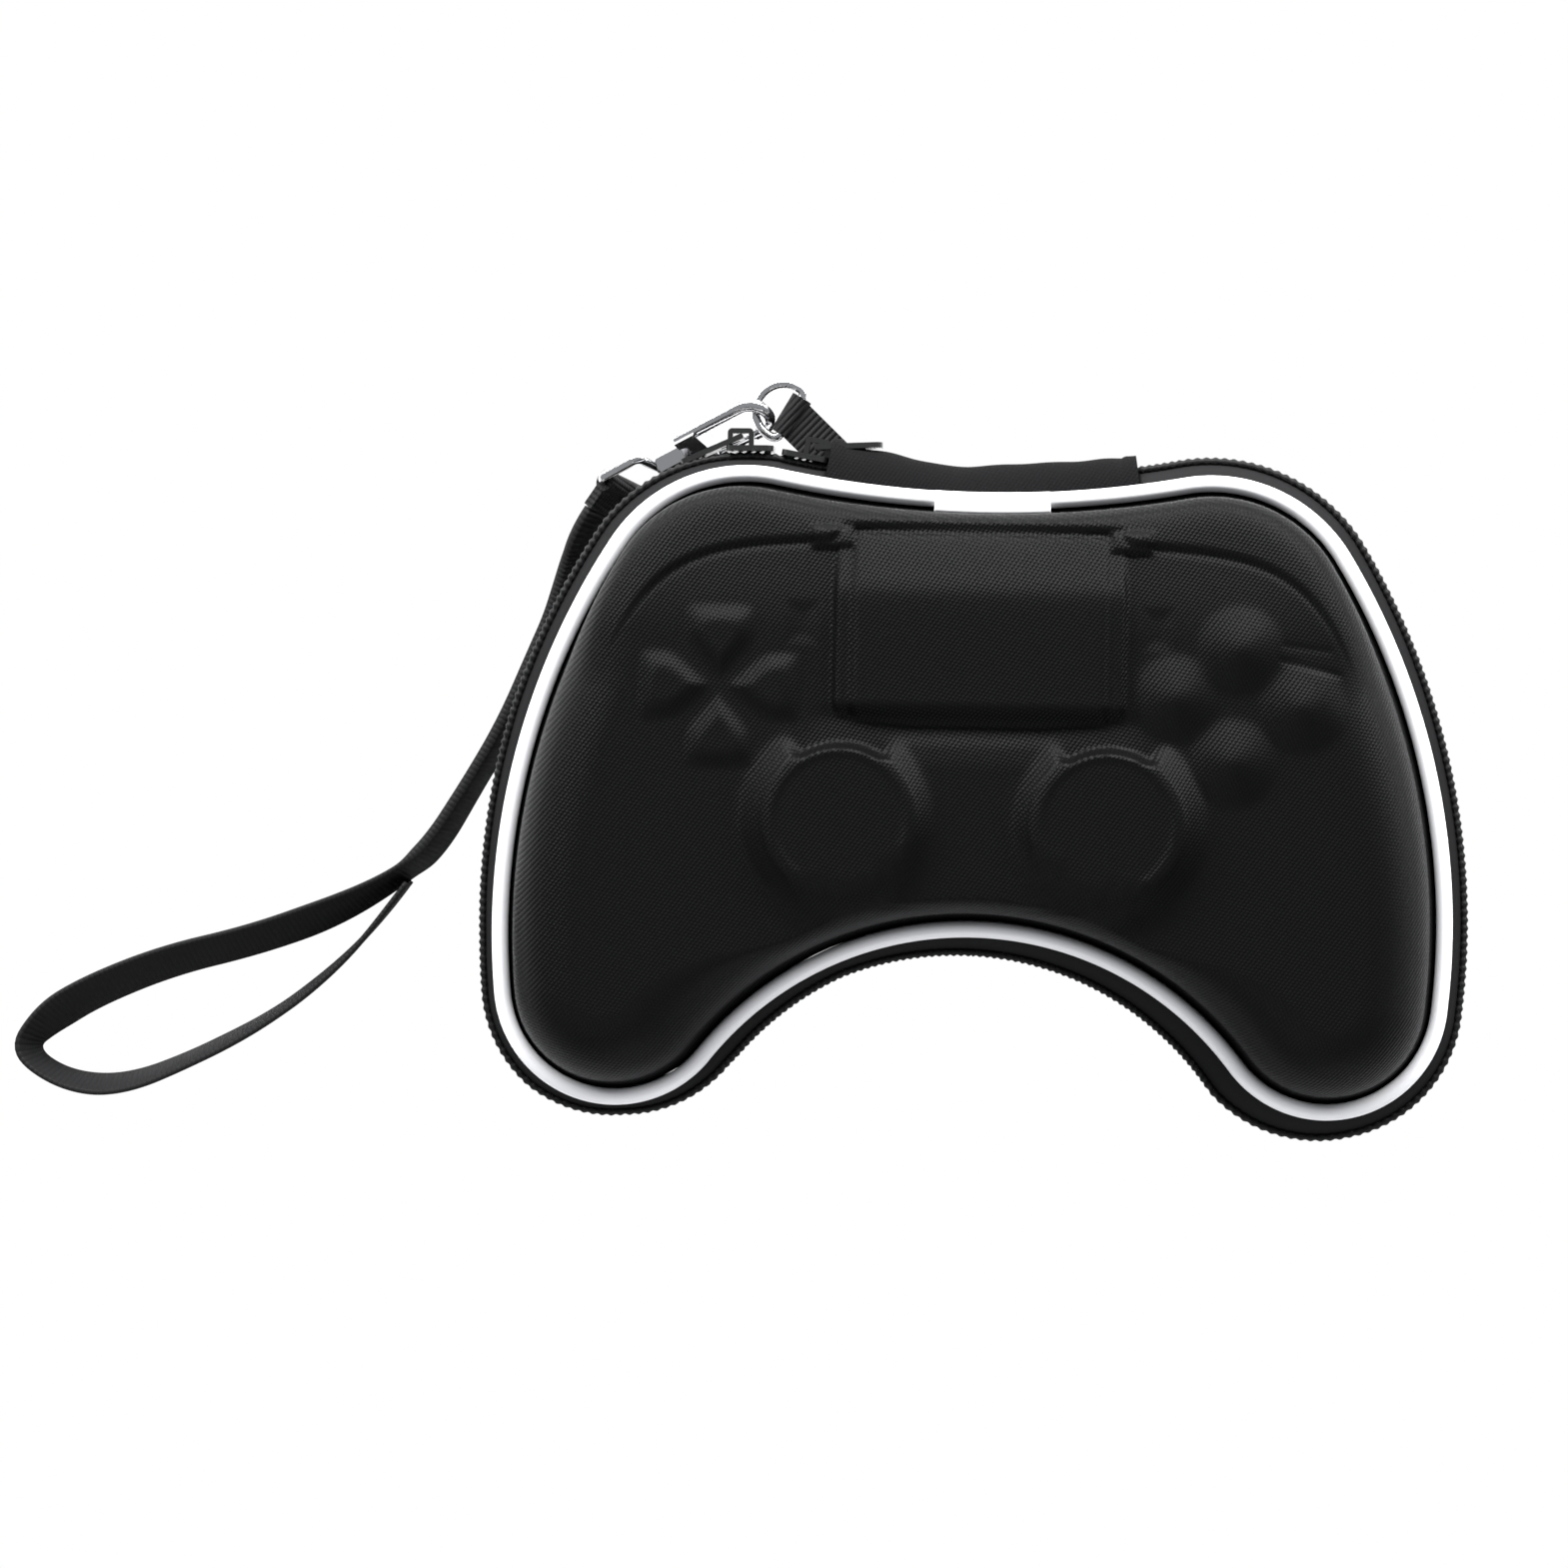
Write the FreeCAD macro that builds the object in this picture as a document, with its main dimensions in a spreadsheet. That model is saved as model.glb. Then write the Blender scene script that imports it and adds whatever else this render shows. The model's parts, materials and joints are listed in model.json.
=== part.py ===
"""Moulded clamshell carrying case for a game controller: piped rim, coil zip and clip-on wrist strap.

Frame, in millimetres: the origin is the centre of the flat underside, +X to the right along the longest side,
+Y towards the fabric spine that the lid turns on, +Z up. The lid is closed.
"""
import FreeCAD, Part

import math
import os

import Sketcher

V = FreeCAD.Vector
UP = V(0, 0, 1)

doc = FreeCAD.newDocument("carrying_case")
sheet = doc.addObject("Spreadsheet::Sheet", "Sizes")

# Driving dimensions, in millimetres and degrees
SIZES = {
    # Rim outline, on the centreline of the piping
    "shoulder_x": 46.1,
    "shoulder_y": 31.5,
    "shoulder_radius": 30.5,
    "side_radius": 140.9,
    "lobe_x": 70.5,
    "lobe_drop": 39.6,
    "lobe_radius": 22.4,
    "dip_apex": 57.6,
    "notch_apex": -27.3,
    # Heights
    "zip_height": 36.0,
    "rim_rise": 6.5,
    "lid_rise": 20.0,
    "hood_drop": 2.3,
    "stick_rise": 4.3,
    # Moulded shells
    "wall": 4.0,
    "lid_round": 16.0,
    "hood_round": 14.0,
    "base_round": 14.0,
    # Piping and the sleeve that hides its joint
    "piping_radius": 1.65,
    "sleeve_radius": 2.35,
    "sleeve_mouth": 1.5,
    "sleeve_length": 23.0,
    "sleeve_x": 1.0,
    "seat_gap": 0.1,
    # Zip tape and coil
    "tape_thick": 1.2,
    "tape_seam": 2.75,
    "coil_offset": 1.9,
    "coil_thick": 1.5,
    "coil_height": 2.7,
    "chain_gap": 0.1,
    "spine_half": 31.5,
    "spine_bulge": 5.6,
    "spine_soft": 1.5,
    "hem_gap": 0.3,
    "turn_out": 0.9,
    "turn_in": 0.4,
    # Moulded step behind the pad, and the bridge under the sticks
    "step_middle": 48.3,
    "step_drop": 3.9,
    "step_reach": 60.0,
    "prism_half": 110.0,
    "prism_front": 100.0,
    "root_depth": 4.0,
    "bridge_half": 43.0,
    "bridge_inset": 3.6,
    "bridge_round": 2.4,
    "bridge_sink": 0.4,
    # Raised touch pad with a sloped back edge
    "pad_width": 53.4,
    "pad_depth": 37.6,
    "pad_y": 34.1,
    "pad_rise": 2.2,
    "pad_slope": 7.5,
    "pad_round": 1.0,
    "block_width": 7.9,
    "block_depth": 5.5,
    "block_x": 30.6,
    "block_y": 50.8,
    "block_rise": 0.6,
    # Stick towers
    "stick_x": 26.0,
    "stick_y": -5.6,
    "stick_foot": 19.0,
    "stick_top": 14.4,
    "stick_round": 1.6,
    "stick_wall": 3.5,
    # Round buttons and the four petals
    "button_x": 51.2,
    "button_y": 20.3,
    "button_pitch": 12.4,
    "button_radius": 6.8,
    "button_rise": 2.6,
    "petal_x": 51.2,
    "petal_y": 19.7,
    "petal_tip": 3.2,
    "petal_shoulder": 8.4,
    "petal_end": 15.0,
    "petal_half": 4.9,
    "petal_rise": 1.8,
    "petal_round": 1.0,
    # Sliders and pullers
    "slider_length": 9.4,
    "slider_height": 7.2,
    "slider_plate": 1.1,
    "slider_gap": 0.15,
    "slider_round": 1.6,
    "inner_plate_half": 2.0,
    "post_size": 1.3,
    "post_reach": 3.4,
    "inner_slack": 0.35,
    "slider_left_x": 46.5,
    "slider_right_x": 36.5,
    "left_lean": 24.0,
    "right_lean": 13.0,
    "arch_shift": 2.0,
    "bridge_height": 3.6,
    "bridge_wire": 1.0,
    "arch_half": 2.6,
    "pivot_rise": 1.8,
    "puller_length": 13.0,
    "puller_width": 4.4,
    "puller_thick": 1.1,
    "slot_slack": 1.4,
    # Webbing tab and the D-ring in it
    "tab_width": 8.4,
    "tab_ply": 1.1,
    "ring_wire": 0.9,
    "ring_inside": 9.4,
    "ring_depth": 7.6,
    "ring_corner": 1.4,
    "ring_heading": 150.0,
    "ring_dip": 10.0,
    "bar_x": -39.1,
    "bar_y": 74.6,
    "bar_drop": 4.9,
    "tab_heading": 136.5,
    "tab_reach": 18.0,
    "tab_root_gap": 2.9,
    # Swivel snap hook
    "hook_length": 38.6,
    "hook_heading": 205.6,
    "hook_slope": 27.0,
    "hook_roll": 45.0,
    "eye_roll": 62.0,
    "bow_lag": 15.0,
    "bow_play": 0.35,
    "hook_wire": 1.3,
    "hook_half": 3.9,
    "nose_lap": 5.8,
    "barrel_start": 19.6,
    "barrel_length": 7.2,
    "barrel_radius": 3.7,
    "barrel_bevel": 1.2,
    "joint_lap": 0.5,
    "post_radius": 1.2,
    "head_radius": 2.0,
    "head_thick": 1.3,
    "head_back": 2.4,
    "neck_length": 1.2,
    "running_gap": 0.06,
    "yoke_length": 4.6,
    "yoke_thick": 1.9,
    "yoke_over": 1.4,
    "pin_back": 3.2,
    "gate_eye": 1.5,
    "gate_gap": 0.25,
    "eye_wire": 1.0,
    "eye_inside": 10.6,
    "eye_corner": 1.25,
    "eye_clear": 0.6,
    "gate_wire": 0.95,
    "gate_pin_radius": 0.6,
    "thumb_length": 5.2,
    "thumb_rise": 3.5,
    # Strap webbing
    "strap_width": 10.0,
    "strap_ply": 1.2,
    "fold_length": 6.4,
    "fold_turn": 34.0,
    "exit_run": 5.0,
    "run_share": 0.45,
    "floor_gap": 0.3,
}
for row, (alias, number) in enumerate(SIZES.items(), start=1):
    sheet.set(f"A{row}", alias.replace("_", " "))
    sheet.set(f"B{row}", str(number))
    sheet.setAlias(f"B{row}", alias)
doc.recompute()


def size(alias):
    """A driving dimension as the sheet holds it."""
    return float(getattr(sheet, alias))


def bind(obj, path, formula):
    """Tie a property of obj to the sheet: every alias in the formula gets the sheet's name in front."""
    words = []
    word = ""
    for letter in formula + " ":
        if letter.isalnum() or letter == "_":
            word += letter
            continue
        words.append(f"Sizes.{word}" if word in SIZES else word)
        words.append(letter)
        word = ""
    obj.setExpression(path, "".join(words).strip())


# Heights and offsets that several pieces share, as formulas of the sheet
LID_RIM = "zip_height + rim_rise"
BASE_RIM = "zip_height - rim_rise"
FACE = f"{LID_RIM} + lid_rise"
HOOD = f"{FACE} - hood_drop"
STICK = f"{FACE} + stick_rise"
LID_FOOT = "zip_height + rim_rise - piping_radius - seat_gap"
BASE_TOP = "zip_height - rim_rise + piping_radius + seat_gap"
SHELL_INSET = "piping_radius + seat_gap"
CAVITY_INSET = "piping_radius + seat_gap + wall"


def number(formula):
    """The present value of a formula of aliases, numbers, + and -, read from left to right."""
    total = 0.0
    sign = 1.0
    for term in formula.split():
        if term == "+":
            sign = 1.0
        elif term == "-":
            sign = -1.0
        else:
            total += sign * (size(term) if term in SIZES else float(term))
    return total


# Rim outline: two concave arcs (dip at the spine, notch at the front) joined by shoulder, side and lobe arcs
def outline_points(inset):
    """Centres, radii and tangent points of the right half of the outline, moved inwards by inset."""
    shoulder = V(size("shoulder_x"), size("shoulder_y"), 0)
    lobe = V(size("lobe_x"), -size("lobe_drop"), 0)
    r_shoulder = size("shoulder_radius")
    r_lobe = size("lobe_radius")
    r_side = size("side_radius")
    r_dip = arc_radius(shoulder, r_shoulder, size("dip_apex"), 1)
    r_notch = arc_radius(lobe, r_lobe, size("notch_apex"), -1)
    dip = V(0, size("dip_apex") + r_dip, 0)
    notch = V(0, size("notch_apex") - r_notch, 0)
    # The side arc's centre is r_side - r_shoulder from one centre and r_side - r_lobe from the other
    span = lobe - shoulder
    reach = span.Length
    a = r_side - r_shoulder
    b = r_side - r_lobe
    along = (a * a - b * b + reach * reach) / (2 * reach)
    across = math.sqrt(a * a - along * along)
    unit = V(span).normalize()
    side = shoulder + unit * along + V(unit.y, -unit.x, 0) * across
    rows = {
        "dip": (dip, r_dip + inset),
        "shoulder": (shoulder, r_shoulder - inset),
        "side": (side, r_side - inset),
        "lobe": (lobe, r_lobe - inset),
        "notch": (notch, r_notch + inset),
    }
    joints = {
        "dip_shoulder": shoulder + V(dip - shoulder).normalize() * (r_shoulder - inset),
        "shoulder_side": shoulder + V(shoulder - side).normalize() * (r_shoulder - inset),
        "side_lobe": lobe + V(lobe - side).normalize() * (r_lobe - inset),
        "lobe_notch": lobe + V(notch - lobe).normalize() * (r_lobe - inset),
    }
    return rows, joints


def arc_radius(centre, radius, apex, way):
    """Radius of the concave arc on the Y axis, with the given apex, that touches a convex arc beside it."""
    rise = (apex - centre.y) * way
    return (centre.x ** 2 + rise ** 2 - radius ** 2) / (2 * (radius - rise))


DIP_RADIUS = ("(shoulder_x^2 + (dip_apex - shoulder_y)^2 - shoulder_radius^2)"
              " / (2 * (shoulder_radius + shoulder_y - dip_apex))")
NOTCH_RADIUS = ("(lobe_x^2 + (notch_apex + lobe_drop)^2 - lobe_radius^2)"
                " / (2 * (lobe_radius + notch_apex + lobe_drop))")


def mirrored(point):
    """The same point on the left half."""
    return V(-point.x, point.y, point.z)


def angle_of(centre, point):
    """Direction from centre to point, in radians."""
    return math.atan2(point.y - centre.y, point.x - centre.x)


def arc_between(centre, radius, start, end):
    """The anticlockwise arc about centre from the direction of start to that of end."""
    first = angle_of(centre, start)
    last = angle_of(centre, end)
    if last < first:
        last += 2 * math.pi
    return Part.ArcOfCircle(Part.Circle(centre, UP, radius), first, last)


def new_body(label):
    """An empty body with its own label."""
    body = doc.addObject("PartDesign::Body", label)
    body.Label = label
    return body


def new_sketch(body, name, role, offset=None, height=None):
    """A sketch on one of the body's own origin planes, lifted off it by the height formula."""
    sketch = body.newObject("Sketcher::SketchObject", name)
    plane = [f for f in body.Origin.OriginFeatures if f.Role == role][0]
    sketch.AttachmentSupport = (plane, [""])
    sketch.MapMode = "FlatFace"
    if offset is not None:
        sketch.AttachmentOffset = FreeCAD.Placement(V(0, 0, offset), FreeCAD.Rotation())
    if height is not None:
        sketch.AttachmentOffset = FreeCAD.Placement(V(0, 0, 1), FreeCAD.Rotation())
        bind(sketch, "AttachmentOffset.Base.z", height)
    return sketch


def fix(sketch, constraint, formula):
    """Add a constraint whose value follows a formula of the sheet."""
    index = sketch.addConstraint(constraint)
    bind(sketch, f"Constraints[{index}]", formula)


def fix_centre(sketch, arc, x_formula, y_formula, below, at):
    """Hold an arc's centre right of the Y axis, above the X axis or below it."""
    fix(sketch, Sketcher.Constraint("DistanceX", -1, 1, arc, 3, at.x), x_formula)
    if below:
        fix(sketch, Sketcher.Constraint("DistanceY", arc, 3, -1, 1, -at.y), y_formula)
    else:
        fix(sketch, Sketcher.Constraint("DistanceY", -1, 1, arc, 3, at.y), y_formula)


def outline_sketch(body, name, inset_formula, height_formula):
    """The closed outline of eight tangent arcs, inset from the piping's centreline."""
    sketch = new_sketch(body, name, "XY_Plane", height=height_formula)
    inset = number(inset_formula)
    rows, joints = outline_points(inset)
    left = {key: mirrored(point) for key, point in joints.items()}
    dip, shoulder, side, lobe, notch = (rows[key] for key in ("dip", "shoulder", "side", "lobe", "notch"))
    sketch.addGeometry(arc_between(*dip, left["dip_shoulder"], joints["dip_shoulder"]), False)
    sketch.addGeometry(arc_between(*shoulder, joints["shoulder_side"], joints["dip_shoulder"]), False)
    sketch.addGeometry(arc_between(*side, joints["side_lobe"], joints["shoulder_side"]), False)
    sketch.addGeometry(arc_between(*lobe, joints["lobe_notch"], joints["side_lobe"]), False)
    sketch.addGeometry(arc_between(*notch, joints["lobe_notch"], left["lobe_notch"]), False)
    for (centre, radius), start, end in (
        (lobe, left["side_lobe"], left["lobe_notch"]),
        (side, left["shoulder_side"], left["side_lobe"]),
        (shoulder, left["dip_shoulder"], left["shoulder_side"]),
    ):
        sketch.addGeometry(arc_between(mirrored(centre), radius, start, end), False)
    # Each pair: arc, its end (1 start, 2 end), next arc, its end
    for first, first_end, second, second_end in (
        (0, 2, 1, 2), (1, 1, 2, 2), (2, 1, 3, 2), (3, 1, 4, 1),
        (4, 2, 5, 2), (5, 1, 6, 2), (6, 1, 7, 2), (7, 1, 0, 1),
    ):
        sketch.addConstraint(Sketcher.Constraint("Tangent", first, first_end, second, second_end))
    fix_centre(sketch, 1, "shoulder_x", "shoulder_y", False, shoulder[0])
    fix_centre(sketch, 3, "lobe_x", "lobe_drop", True, lobe[0])
    sketch.addConstraint(Sketcher.Constraint("Symmetric", 1, 3, 7, 3, -2))
    sketch.addConstraint(Sketcher.Constraint("Symmetric", 3, 3, 5, 3, -2))
    for first, second in ((1, 7), (2, 6), (3, 5)):
        sketch.addConstraint(Sketcher.Constraint("Equal", first, second))
    fix(sketch, Sketcher.Constraint("Radius", 0, dip[1]), f"{DIP_RADIUS} + {inset_formula}")
    fix(sketch, Sketcher.Constraint("Radius", 1, shoulder[1]), f"shoulder_radius - ({inset_formula})")
    fix(sketch, Sketcher.Constraint("Radius", 2, side[1]), f"side_radius - ({inset_formula})")
    fix(sketch, Sketcher.Constraint("Radius", 3, lobe[1]), f"lobe_radius - ({inset_formula})")
    fix(sketch, Sketcher.Constraint("Radius", 4, notch[1]), f"{NOTCH_RADIUS} + {inset_formula}")
    return sketch


def polygon(sketch, corners):
    """Closed run of lines whose corners are pairs of formulas of the sheet, in the sketch's own axes."""
    points = [V(formula_value(x), formula_value(y), 0) for x, y in corners]
    count = len(points)
    for i in range(count):
        sketch.addGeometry(Part.LineSegment(points[i], points[(i + 1) % count]), False)
    for i in range(count):
        sketch.addConstraint(Sketcher.Constraint("Coincident", i, 2, (i + 1) % count, 1))
    for i, (x, y) in enumerate(corners):
        for kind, formula, value in (("DistanceX", x, points[i].x), ("DistanceY", y, points[i].y)):
            if abs(value) < 1e-9:
                axis = -2 if kind == "DistanceX" else -1
                sketch.addConstraint(Sketcher.Constraint("PointOnObject", i, 1, axis))
            elif value > 0:
                fix(sketch, Sketcher.Constraint(kind, -1, 1, i, 1, value), formula)
            else:
                fix(sketch, Sketcher.Constraint(kind, i, 1, -1, 1, -value), f"-({formula})")


def formula_value(formula):
    """The number that a formula of the sheet gives, by the document's own expression engine."""
    probe.setExpression("Length", None)
    bind(probe, "Length", f"({formula}) * 1 + 10000")
    probe.recompute()
    return float(probe.Length) - 10000


probe = doc.addObject("Part::Box", "formula_probe")


def pad(body, sketch, name, formula):
    """Material from the sketch upwards."""
    feature = body.newObject("PartDesign::Pad", name)
    feature.Profile = sketch
    bind(feature, "Length", formula)
    body.Tip = feature
    doc.recompute()
    return feature


def edges_at(shape, height, tolerance=1e-4):
    """Names of the edges that lie wholly at one height."""
    names = []
    for i, edge in enumerate(shape.Edges, start=1):
        box = edge.BoundBox
        if abs(box.ZMin - height) < tolerance and abs(box.ZMax - height) < tolerance:
            names.append(f"Edge{i}")
    return names


def round_edges(body, base, name, edges, formula):
    """Fillet the named edges of a feature."""
    feature = body.newObject("PartDesign::Fillet", name)
    feature.Base = (base, edges)
    bind(feature, "Radius", formula)
    body.Tip = feature
    doc.recompute()
    return feature


def dome(label, inset, foot, top, rounding):
    """Rounded block on the outline: straight sides from the foot, and a quarter round up to the flat top."""
    body = new_body(label)
    sketch = outline_sketch(body, f"{label}_outline", inset, foot)
    block = pad(body, sketch, f"{label}_block", f"{top} - ({foot})")
    round_edges(body, block, f"{label}_round", edges_at(block.Shape, formula_value(top)), rounding)
    return body


def fuse(label, pieces):
    """One solid of several that overlap."""
    feature = doc.addObject("Part::MultiFuse", label)
    feature.Label = label
    feature.Shapes = pieces
    feature.Refine = True
    doc.recompute()
    return feature


def cut(label, base, tool):
    """Base without tool."""
    feature = doc.addObject("Part::Cut", label)
    feature.Label = label
    feature.Base = base
    feature.Tool = tool
    feature.Refine = True
    doc.recompute()
    return feature


def common(label, pieces):
    """What the pieces share."""
    feature = doc.addObject("Part::MultiCommon", label)
    feature.Label = label
    feature.Shapes = pieces
    doc.recompute()
    return feature


# Lid shell: a low hood behind the step, the high face in front of it, and the moulded controls on top
def step_prism(label, back_formula):
    """Tall prism in front of the step: its back edge is an arc that falls away towards both sides."""
    body = new_body(label)
    sketch = new_sketch(body, f"{label}_plan", "XY_Plane", height=LID_FOOT)
    middle = formula_value(back_formula)
    drop = size("step_drop")
    reach = size("step_reach")
    radius = (reach ** 2 + drop ** 2) / (2 * drop)
    corner_x = size("prism_half")
    corner_y = middle - radius + math.sqrt(radius ** 2 - corner_x ** 2)
    centre = V(0, middle - radius, 0)
    right = V(corner_x, corner_y, 0)
    low = -size("prism_front")
    sketch.addGeometry(arc_between(centre, radius, right, mirrored(right)), False)
    sketch.addGeometry(Part.LineSegment(mirrored(right), V(-corner_x, low, 0)), False)
    sketch.addGeometry(Part.LineSegment(V(-corner_x, low, 0), V(corner_x, low, 0)), False)
    sketch.addGeometry(Part.LineSegment(V(corner_x, low, 0), right), False)
    for first, second in ((0, 1), (1, 2), (2, 3)):
        sketch.addConstraint(Sketcher.Constraint("Coincident", first, 2, second, 1))
    sketch.addConstraint(Sketcher.Constraint("Coincident", 3, 2, 0, 1))
    sketch.addConstraint(Sketcher.Constraint("PointOnObject", 0, 3, -2))
    sketch.addConstraint(Sketcher.Constraint("Symmetric", 0, 1, 0, 2, -2))
    sketch.addConstraint(Sketcher.Constraint("Vertical", 1))
    sketch.addConstraint(Sketcher.Constraint("Vertical", 3))
    sketch.addConstraint(Sketcher.Constraint("Horizontal", 2))
    radius_formula = "(step_reach^2 + step_drop^2) / (2 * step_drop)"
    fix(sketch, Sketcher.Constraint("Radius", 0, radius), radius_formula)
    fix(sketch, Sketcher.Constraint("DistanceX", 2, 1, 2, 2, 2 * corner_x), "2 * prism_half")
    fix(sketch, Sketcher.Constraint("DistanceY", 2, 1, -1, 1, -low), "prism_front")
    centre_formula = f"{radius_formula} - ({back_formula})"
    fix(sketch, Sketcher.Constraint("DistanceY", 0, 3, -1, 1, -centre.y), centre_formula)
    pad(body, sketch, f"{label}_block", f"{STICK} - ({LID_FOOT})")
    return body


def lid_shell():
    """Embossed lid: outer form less its hollow."""
    hood = dome("lid_hood", SHELL_INSET, LID_FOOT, HOOD, "hood_round")
    high = dome("lid_high", SHELL_INSET, LID_FOOT, FACE, "lid_round")
    face = common("lid_face", [high, step_prism("lid_step", "step_middle")])
    outer = fuse("lid_outer", [hood, face, stick_bridge(), touch_pad()] + side_blocks()
                 + towers("tower", "stick_foot", "stick_top",
                          f"{FACE} - root_depth", STICK, True)
                 + buttons() + [petals()])
    low_hollow = dome("hood_hollow", CAVITY_INSET, "zip_height", f"{HOOD} - wall", "hood_round - wall")
    high_hollow = dome("face_hollow", CAVITY_INSET, "zip_height", f"{FACE} - wall", "lid_round - wall")
    face_hollow = common("face_hollow_part", [high_hollow, step_prism("hollow_step", "step_middle - wall")])
    hollow = fuse("lid_hollow", [low_hollow, face_hollow]
                  + towers("stick_well", "stick_foot - wall", "stick_top - stick_wall",
                           f"{FACE} - wall - root_depth", f"{STICK} - stick_wall", False))
    return cut("lid_shell", outer, hollow)


def stick_bridge():
    """Block under both sticks whose front face runs close inside the notch."""
    body = new_body("stick_bridge")
    sketch = new_sketch(body, "stick_bridge_plan", "XY_Plane", height=f"{FACE} - lid_round")
    inset = size("bridge_inset")
    half = size("bridge_half")
    rows, _ = outline_points(inset)
    centre, radius = rows["notch"]
    right = V(half, centre.y + math.sqrt(radius ** 2 - half ** 2), 0)
    back = size("stick_y") + size("stick_foot")
    sketch.addGeometry(arc_between(centre, radius, right, mirrored(right)), False)
    sketch.addGeometry(Part.LineSegment(mirrored(right), V(-half, back, 0)), False)
    sketch.addGeometry(Part.LineSegment(V(-half, back, 0), V(half, back, 0)), False)
    sketch.addGeometry(Part.LineSegment(V(half, back, 0), right), False)
    for first, second in ((0, 1), (1, 2), (2, 3)):
        sketch.addConstraint(Sketcher.Constraint("Coincident", first, 2, second, 1))
    sketch.addConstraint(Sketcher.Constraint("Coincident", 3, 2, 0, 1))
    sketch.addConstraint(Sketcher.Constraint("PointOnObject", 0, 3, -2))
    sketch.addConstraint(Sketcher.Constraint("Symmetric", 0, 1, 0, 2, -2))
    sketch.addConstraint(Sketcher.Constraint("Vertical", 1))
    sketch.addConstraint(Sketcher.Constraint("Vertical", 3))
    sketch.addConstraint(Sketcher.Constraint("Horizontal", 2))
    fix(sketch, Sketcher.Constraint("DistanceX", 2, 1, 2, 2, 2 * half), "2 * bridge_half")
    fix(sketch, Sketcher.Constraint("DistanceY", -1, 1, 2, 1, back), "stick_y + stick_foot")
    fix(sketch, Sketcher.Constraint("Radius", 0, radius), f"{NOTCH_RADIUS} + bridge_inset")
    fix(sketch, Sketcher.Constraint("DistanceY", 0, 3, -1, 1, -centre.y), f"{NOTCH_RADIUS} - notch_apex")
    block = pad(body, sketch, "stick_bridge_block", "lid_round - bridge_sink")
    top = formula_value(f"{FACE} - bridge_sink")
    front = [name for name in edges_at(block.Shape, top)
             if block.Shape.getElement(name).BoundBox.YMax < back - 1
             and block.Shape.getElement(name).BoundBox.XLength > 1]
    round_edges(body, block, "stick_bridge_round", front, "bridge_round")
    return body


def box_body(label, x0, x1, y0, y1, foot, top):
    """Rectangular block between formulas of the sheet."""
    body = new_body(label)
    sketch = new_sketch(body, f"{label}_plan", "XY_Plane", height=foot)
    polygon(sketch, [(x0, y0), (x1, y0), (x1, y1), (x0, y1)])
    pad(body, sketch, f"{label}_block", f"{top} - ({foot})")
    return body


def touch_pad():
    """Raised pad, whose side view is a rectangle with its back corner sloped off."""
    body = new_body("touch_pad")
    sketch = new_sketch(body, "touch_pad_side", "YZ_Plane")
    front = "pad_y - pad_depth / 2"
    back = "pad_y + pad_depth / 2"
    foot = f"{HOOD} - root_depth"
    top = f"{FACE} + pad_rise"
    polygon(sketch, [(front, foot), (back, foot), (back, f"{HOOD} - pad_round"),
                     ("pad_y + pad_depth / 2 - pad_slope", top), (front, top)])
    feature = body.newObject("PartDesign::Pad", "touch_pad_block")
    feature.Profile = sketch
    feature.Midplane = True
    bind(feature, "Length", "pad_width")
    body.Tip = feature
    doc.recompute()
    keep = []
    for i, edge in enumerate(feature.Shape.Edges, start=1):
        if edge.BoundBox.ZMax > formula_value(top) - 1e-4:
            keep.append(f"Edge{i}")
    round_edges(body, feature, "touch_pad_round", keep, "pad_round")
    return body


def side_blocks():
    """Two small blocks beside the pad's back corners."""
    blocks = []
    for name, way in (("left", "-"), ("right", "")):
        near = f"{way}(block_x - block_width / 2)"
        far = f"{way}(block_x + block_width / 2)"
        edges = (far, near) if way else (near, far)
        blocks.append(box_body(f"{name}_block", *edges,
                               "block_y - block_depth / 2", "block_y + block_depth / 2",
                               f"{HOOD} - root_depth", f"{HOOD} + block_rise"))
    return blocks


def towers(label, foot_radius, top_radius, foot, top, rounded):
    """Two stick towers, each a cone with a flat cap."""
    pieces = []
    for side, way in (("left", "-"), ("right", "")):
        body = new_body(f"{label}_{side}")
        sketch = new_sketch(body, f"{label}_{side}_half", "XZ_Plane")
        x = f"{way}(stick_x)"
        polygon(sketch, [("0", foot), (foot_radius, foot), (top_radius, top), ("0", top)])
        turn = body.newObject("PartDesign::Revolution", f"{label}_{side}_turn")
        turn.Profile = sketch
        turn.ReferenceAxis = (sketch, ["V_Axis"])
        turn.Angle = 360
        body.Tip = turn
        doc.recompute()
        if rounded:
            rim = [name for name in edges_at(turn.Shape, formula_value(top))]
            round_edges(body, turn, f"{label}_{side}_round", rim, "stick_round")
        body.Placement = FreeCAD.Placement(V(1, 1, 0), FreeCAD.Rotation())
        bind(body, "Placement.Base.x", x)
        bind(body, "Placement.Base.y", "stick_y")
        pieces.append(body)
    return pieces


def buttons():
    """Four round domes in a diamond, each the top of a ball."""
    pieces = []
    ball = "(button_radius^2 + button_rise^2) / (2 * button_rise)"
    for name, dx, dy in (("north", 0, 1), ("south", 0, -1), ("east", 1, 0), ("west", -1, 0)):
        piece = doc.addObject("Part::Sphere", f"button_{name}")
        piece.Label = f"button_{name}"
        bind(piece, "Radius", ball)
        piece.Placement = FreeCAD.Placement(V(1, 1, 1), FreeCAD.Rotation())
        bind(piece, "Placement.Base.x", f"button_x + ({dx}) * button_pitch")
        bind(piece, "Placement.Base.y", f"button_y + ({dy}) * button_pitch")
        bind(piece, "Placement.Base.z", f"{FACE} + button_rise - {ball}")
        pieces.append(piece)
    return pieces


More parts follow.
